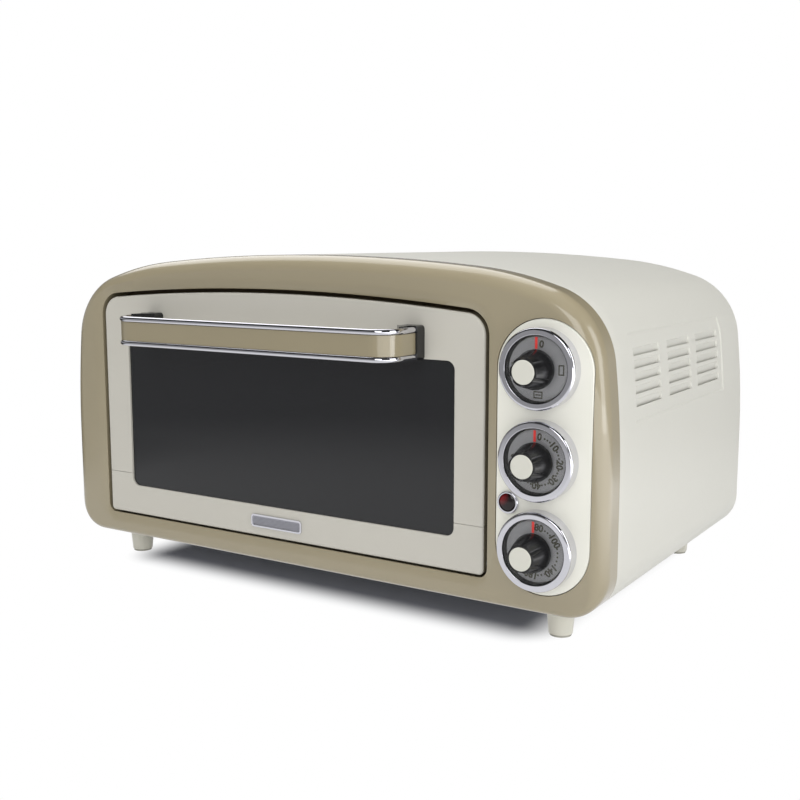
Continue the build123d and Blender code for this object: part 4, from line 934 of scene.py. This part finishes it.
# Pointer discs: clear polycarbonate, polished and nearly unseen, each with one red line printed
# on its face. They are pressed on the knobs and turn over the dials with them.
clear, tree = new_tree("clear_polycarbonate")
swirl = noise(tree, 8)
bump = add_node(tree, "ShaderNodeBump", {"Height": swirl, "Strength": 0.02, "Distance": 0.1 * MM})
pane = add_node(
    tree,
    "ShaderNodeBsdfPrincipled",
    {"Base Color": linear("b0b0b0"), "Roughness": 0.05, "Alpha": 0.05,
     "Normal": bump.outputs[0]},
)
add_node(tree, "ShaderNodeOutputMaterial", {"Surface": pane.outputs[0]})
red_ink = surface("red_pointer_ink", ("d2322c", "dc3a34"), 0.4, tint_size=4, grain_size=0.4)
line_width = 1.7
line_start, line_end = 12.6, 19.7
for name in ("function", "timer", "thermostat"):
    finish_nodes(clear, [name + "_pointer_disc"])
    low, high = box_mm(name + "_pointer_disc")
    centre = (low + high) / 2
    corners = (
        (-line_width / 2, line_start), (line_width / 2, line_start),
        (line_width / 2, line_end), (-line_width / 2, line_end),
    )
    points = [(centre.x + across, low.y - print_lift, centre.z + up) for across, up in corners]
    line = piece(name + "_pointer_line", points, [(0, 1, 2, 3)], red_ink, name + "_control")

# Knobs, handle brackets and small insulating parts: black phenolic, pressed hot in a mould, with
# a satin skin that takes soft, broad lights. Knobs and brackets are what a hand touches.
phenolic = surface(
    "black_phenolic", ("151516", "1b1b1c"), 0.22, tint_size=15, grain_size=0.6, strength=0.08
)
finish_nodes(
    phenolic,
    ["function_knob", "timer_knob", "thermostat_knob", "handle_bracket_left",
     "handle_bracket_right", "cable_gland", "function_switch", "lamp_holder"],
)

# Door glass: smoked toughened glass, polished on both faces, so it mirrors sharply and lets
# little light through. It is held between the door's frame and its inner pan.
smoked, tree = new_tree("smoked_toughened_glass")
ripple = noise(tree, 45)
bump_inputs = {"Height": ripple, "Strength": 0.01, "Distance": 0.3 * MM}
bump = add_node(tree, "ShaderNodeBump", bump_inputs)
pane = add_node(
    tree,
    "ShaderNodeBsdfPrincipled",
    {"Base Color": linear("2c2d30"), "Roughness": 0.015, "Transmission Weight": 0.5,
     "IOR": 1.5, "Normal": bump.outputs[0]},
)
add_node(tree, "ShaderNodeOutputMaterial", {"Surface": pane.outputs[0]})
finish_nodes(smoked, ["door_glass"])

# Badge: the chrome plate keeps its rim, and a bare insert of satin nickel, pressed in fine ribs,
# fills its face.
rib_count = 7
rib_steps = 4
rib_rise = 0.35
insert_inset = 1.5
insert_lift = 0.02
satin_metal = surface(
    "satin_nickel_insert", ("c2c2cc", "cdcdd5"), 0.34, tint_size=6, grain_size=0.6,
    strength=0.1, Metallic=1.0,
)
low, high = box_mm("door_badge")
seat_y = (low.y + high.y) / 2 - insert_lift
left, right = low.x + insert_inset, high.x - insert_inset
foot, top = low.z + insert_inset, high.z - insert_inset
points = []
for x in (left, right):
    for step in range(rib_count * rib_steps + 1):
        height = foot + (top - foot) * step / (rib_count * rib_steps)
        wave = 0.5 - 0.5 * cos(2 * pi * step / rib_steps)
        points.append((x, seat_y - rib_rise * wave, height))
faces = skin(2, rib_count * rib_steps + 1)
ribs = piece("badge_ribs", points, faces, satin_metal, "door", sharp=80)

# Pilot lamp: deep red polycarbonate lens, moulded as a dome and clipped into its chrome ring. With
# the neon off it is nearly black; the red toward its upper left shoulder is painted light, a lit
# patch fixed to the lens. It stands for the flat lens.
dome_rise = 1.6
dome_sink = 0.6
dome_rings = 7
dome_sides = 36
rim_gap = 0.02
low, high = box_mm("lamp_lens")
centre = (low + high) / 2
radius = (high.x - low.x) / 2 - rim_gap
# Painted light: the lens turns red round this spot at its upper left shoulder.
painted_light_spot = (centre.x - 0.75 * radius, low.y, centre.z + 0.55 * radius)
painted_light_from, painted_light_full = 1.15 * radius, 0.2 * radius
lens, tree = new_tree("red_polycarbonate_lens")
place = add_node(tree, "ShaderNodeTexCoord").outputs["Object"]
from_painted_light = add_node(
    tree, "ShaderNodeVectorMath", {0: place, 1: [value * MM for value in painted_light_spot]},
    operation="DISTANCE",
)
painted_light_share = add_node(
    tree,
    "ShaderNodeMapRange",
    {"Value": from_painted_light.outputs["Value"], "From Min": painted_light_from * MM,
     "From Max": painted_light_full * MM},
    interpolation_type="SMOOTHSTEP",
)
facets = noise(tree, 1.6)
bump = add_node(tree, "ShaderNodeBump", {"Height": facets, "Strength": 0.1, "Distance": 0.2 * MM})
shade = add_node(
    tree, "ShaderNodeMix",
    {"Factor": painted_light_share.outputs["Result"], "A": linear("170f11"), "B": linear("70141a")},
    data_type="RGBA",
)
moulded = add_node(
    tree,
    "ShaderNodeBsdfPrincipled",
    {"Base Color": shade.outputs["Result"], "Roughness": 0.06, "Normal": bump.outputs[0]},
)
add_node(tree, "ShaderNodeOutputMaterial", {"Surface": moulded.outputs[0]})
lean = [pi / 2 * ring / dome_rings for ring in range(dome_rings + 1)]
rings = [(radius * sin(angle), low.y + dome_sink - dome_rise * cos(angle)) for angle in lean]
rings.append((radius, high.y))
points = []
for reach, y in rings:
    for side in range(dome_sides):
        angle = 2 * pi * side / dome_sides
        points.append((centre.x + reach * cos(angle), y, centre.z + reach * sin(angle)))
faces = skin(dome_rings + 2, dome_sides, closed=True)
faces.append(tuple(len(points) - 1 - side for side in range(dome_sides)))
dome = piece("lamp_dome", points, faces, lens, "case", sharp=50)
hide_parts("lamp_lens")

# Cavity: liner, heat shield and the door's inner pan are folded from aluminised steel, whose
# hot-dipped skin is dull grey and finely mottled.
aluminised = surface(
    "aluminised_steel", ("8f9194", "a3a5a7"), 0.42, tint_size=5, grain_size=1.5,
    strength=0.15, Metallic=1.0,
)
finish_nodes(aluminised, ["cavity_liner", "heat_shield", "door_inner_frame"])

# Zinc plated steel: hinges, shafts, screws and the mechanisms' cans, turned or stamped and then
# plated, which leaves them pale grey with a cloudy, faintly yellow shine.
plated = surface(
    "zinc_plated_steel", ("8d8f8e", "a0a09b"), 0.33, tint_size=9, grain_size=0.8,
    strength=0.08, Metallic=1.0,
)
finish_nodes(
    plated,
    ["hinge_pins", "hinge_brackets", "function_shaft", "timer_shaft",
     "thermostat_shaft", "case_screws", "bezel_screws", "foot_screws", "handle_screws",
     "timer_movement", "thermostat", "thermostat_bulb"],
)

# Chassis plate: pressed steel behind the bezel, coloured a matt dark brown that is painted shade:
# it shows as the shade in the gap round the door.
gap_shade_plate_paint = surface("dark_brown_painted_gap_shade", ("5c4c31", "665538"), 0.6, tint_size=30)
finish_nodes(gap_shade_plate_paint, ["front_plate"])

# Rack: drawn wire, welded and nickel plated bright. Heating rods: drawn steel sheaths bent into
# loops, browned and roughened by heat, in ceramic bushes at each end.
plated_wire = surface(
    "nickel_plated_wire", ("b6b6b8", "c6c6c8"), 0.2, tint_size=14, grain_size=0.6,
    strength=0.05, Metallic=1.0,
)
finish_nodes(plated_wire, ["wire_rack"])
sheathed = surface(
    "heat_browned_sheath", ("4a4039", "6a6058"), 0.4, tint_size=18, grain_size=1.0,
    strength=0.1, Metallic=0.8,
)
finish_nodes(sheathed, ["upper_elements", "lower_elements"])

# Tray: deep-drawn steel under black vitreous enamel, glossy as glass, with fine pale specks that
# are flecked into the wet coat.
speck_pitch = 3.0
tray_enamel, tree = new_tree("speckled_black_enamel")
place = add_node(tree, "ShaderNodeTexCoord").outputs["Object"]
cells = add_node(
    tree, "ShaderNodeTexVoronoi", {"Vector": place, "Scale": 1 / (speck_pitch * MM)}
).outputs["Distance"]
speck = add_node(
    tree, "ShaderNodeMapRange",
    {"Value": cells, "From Min": 0.08, "From Max": 0.14, "To Min": 1.0, "To Max": 0.0},
)
shade = add_node(
    tree, "ShaderNodeMix",
    {"Factor": speck.outputs["Result"], "A": linear("17181b"), "B": linear("9a9a98")},
    data_type="RGBA",
)
glaze = add_node(
    tree, "ShaderNodeBsdfPrincipled",
    {"Base Color": shade.outputs["Result"], "Roughness": 0.12},
)
add_node(tree, "ShaderNodeOutputMaterial", {"Surface": glaze.outputs[0]})
finish_nodes(tray_enamel, ["baking_tray"])

# Electrical parts: steatite bushes and terminal block, fired with a smooth pale skin; the timer's
# spun brass bell; leads in matt red-brown silicone.
ceramic = surface("steatite_ceramic", ("dcd9cf", "e6e4dc"), 0.25, tint_size=8, grain_size=0.7)
finish_nodes(ceramic, ["element_insulators", "terminal_block"])
brass = surface(
    "bell_brass", ("b08d4c", "c19d5a"), 0.2, tint_size=10, grain_size=1.0, Metallic=1.0
)
finish_nodes(brass, ["timer_bell"])
insulation = surface("lead_insulation", ("8f3b2c", "9c4636"), 0.45, tint_size=20, grain_size=0.6)
finish_nodes(insulation, ["wiring"])
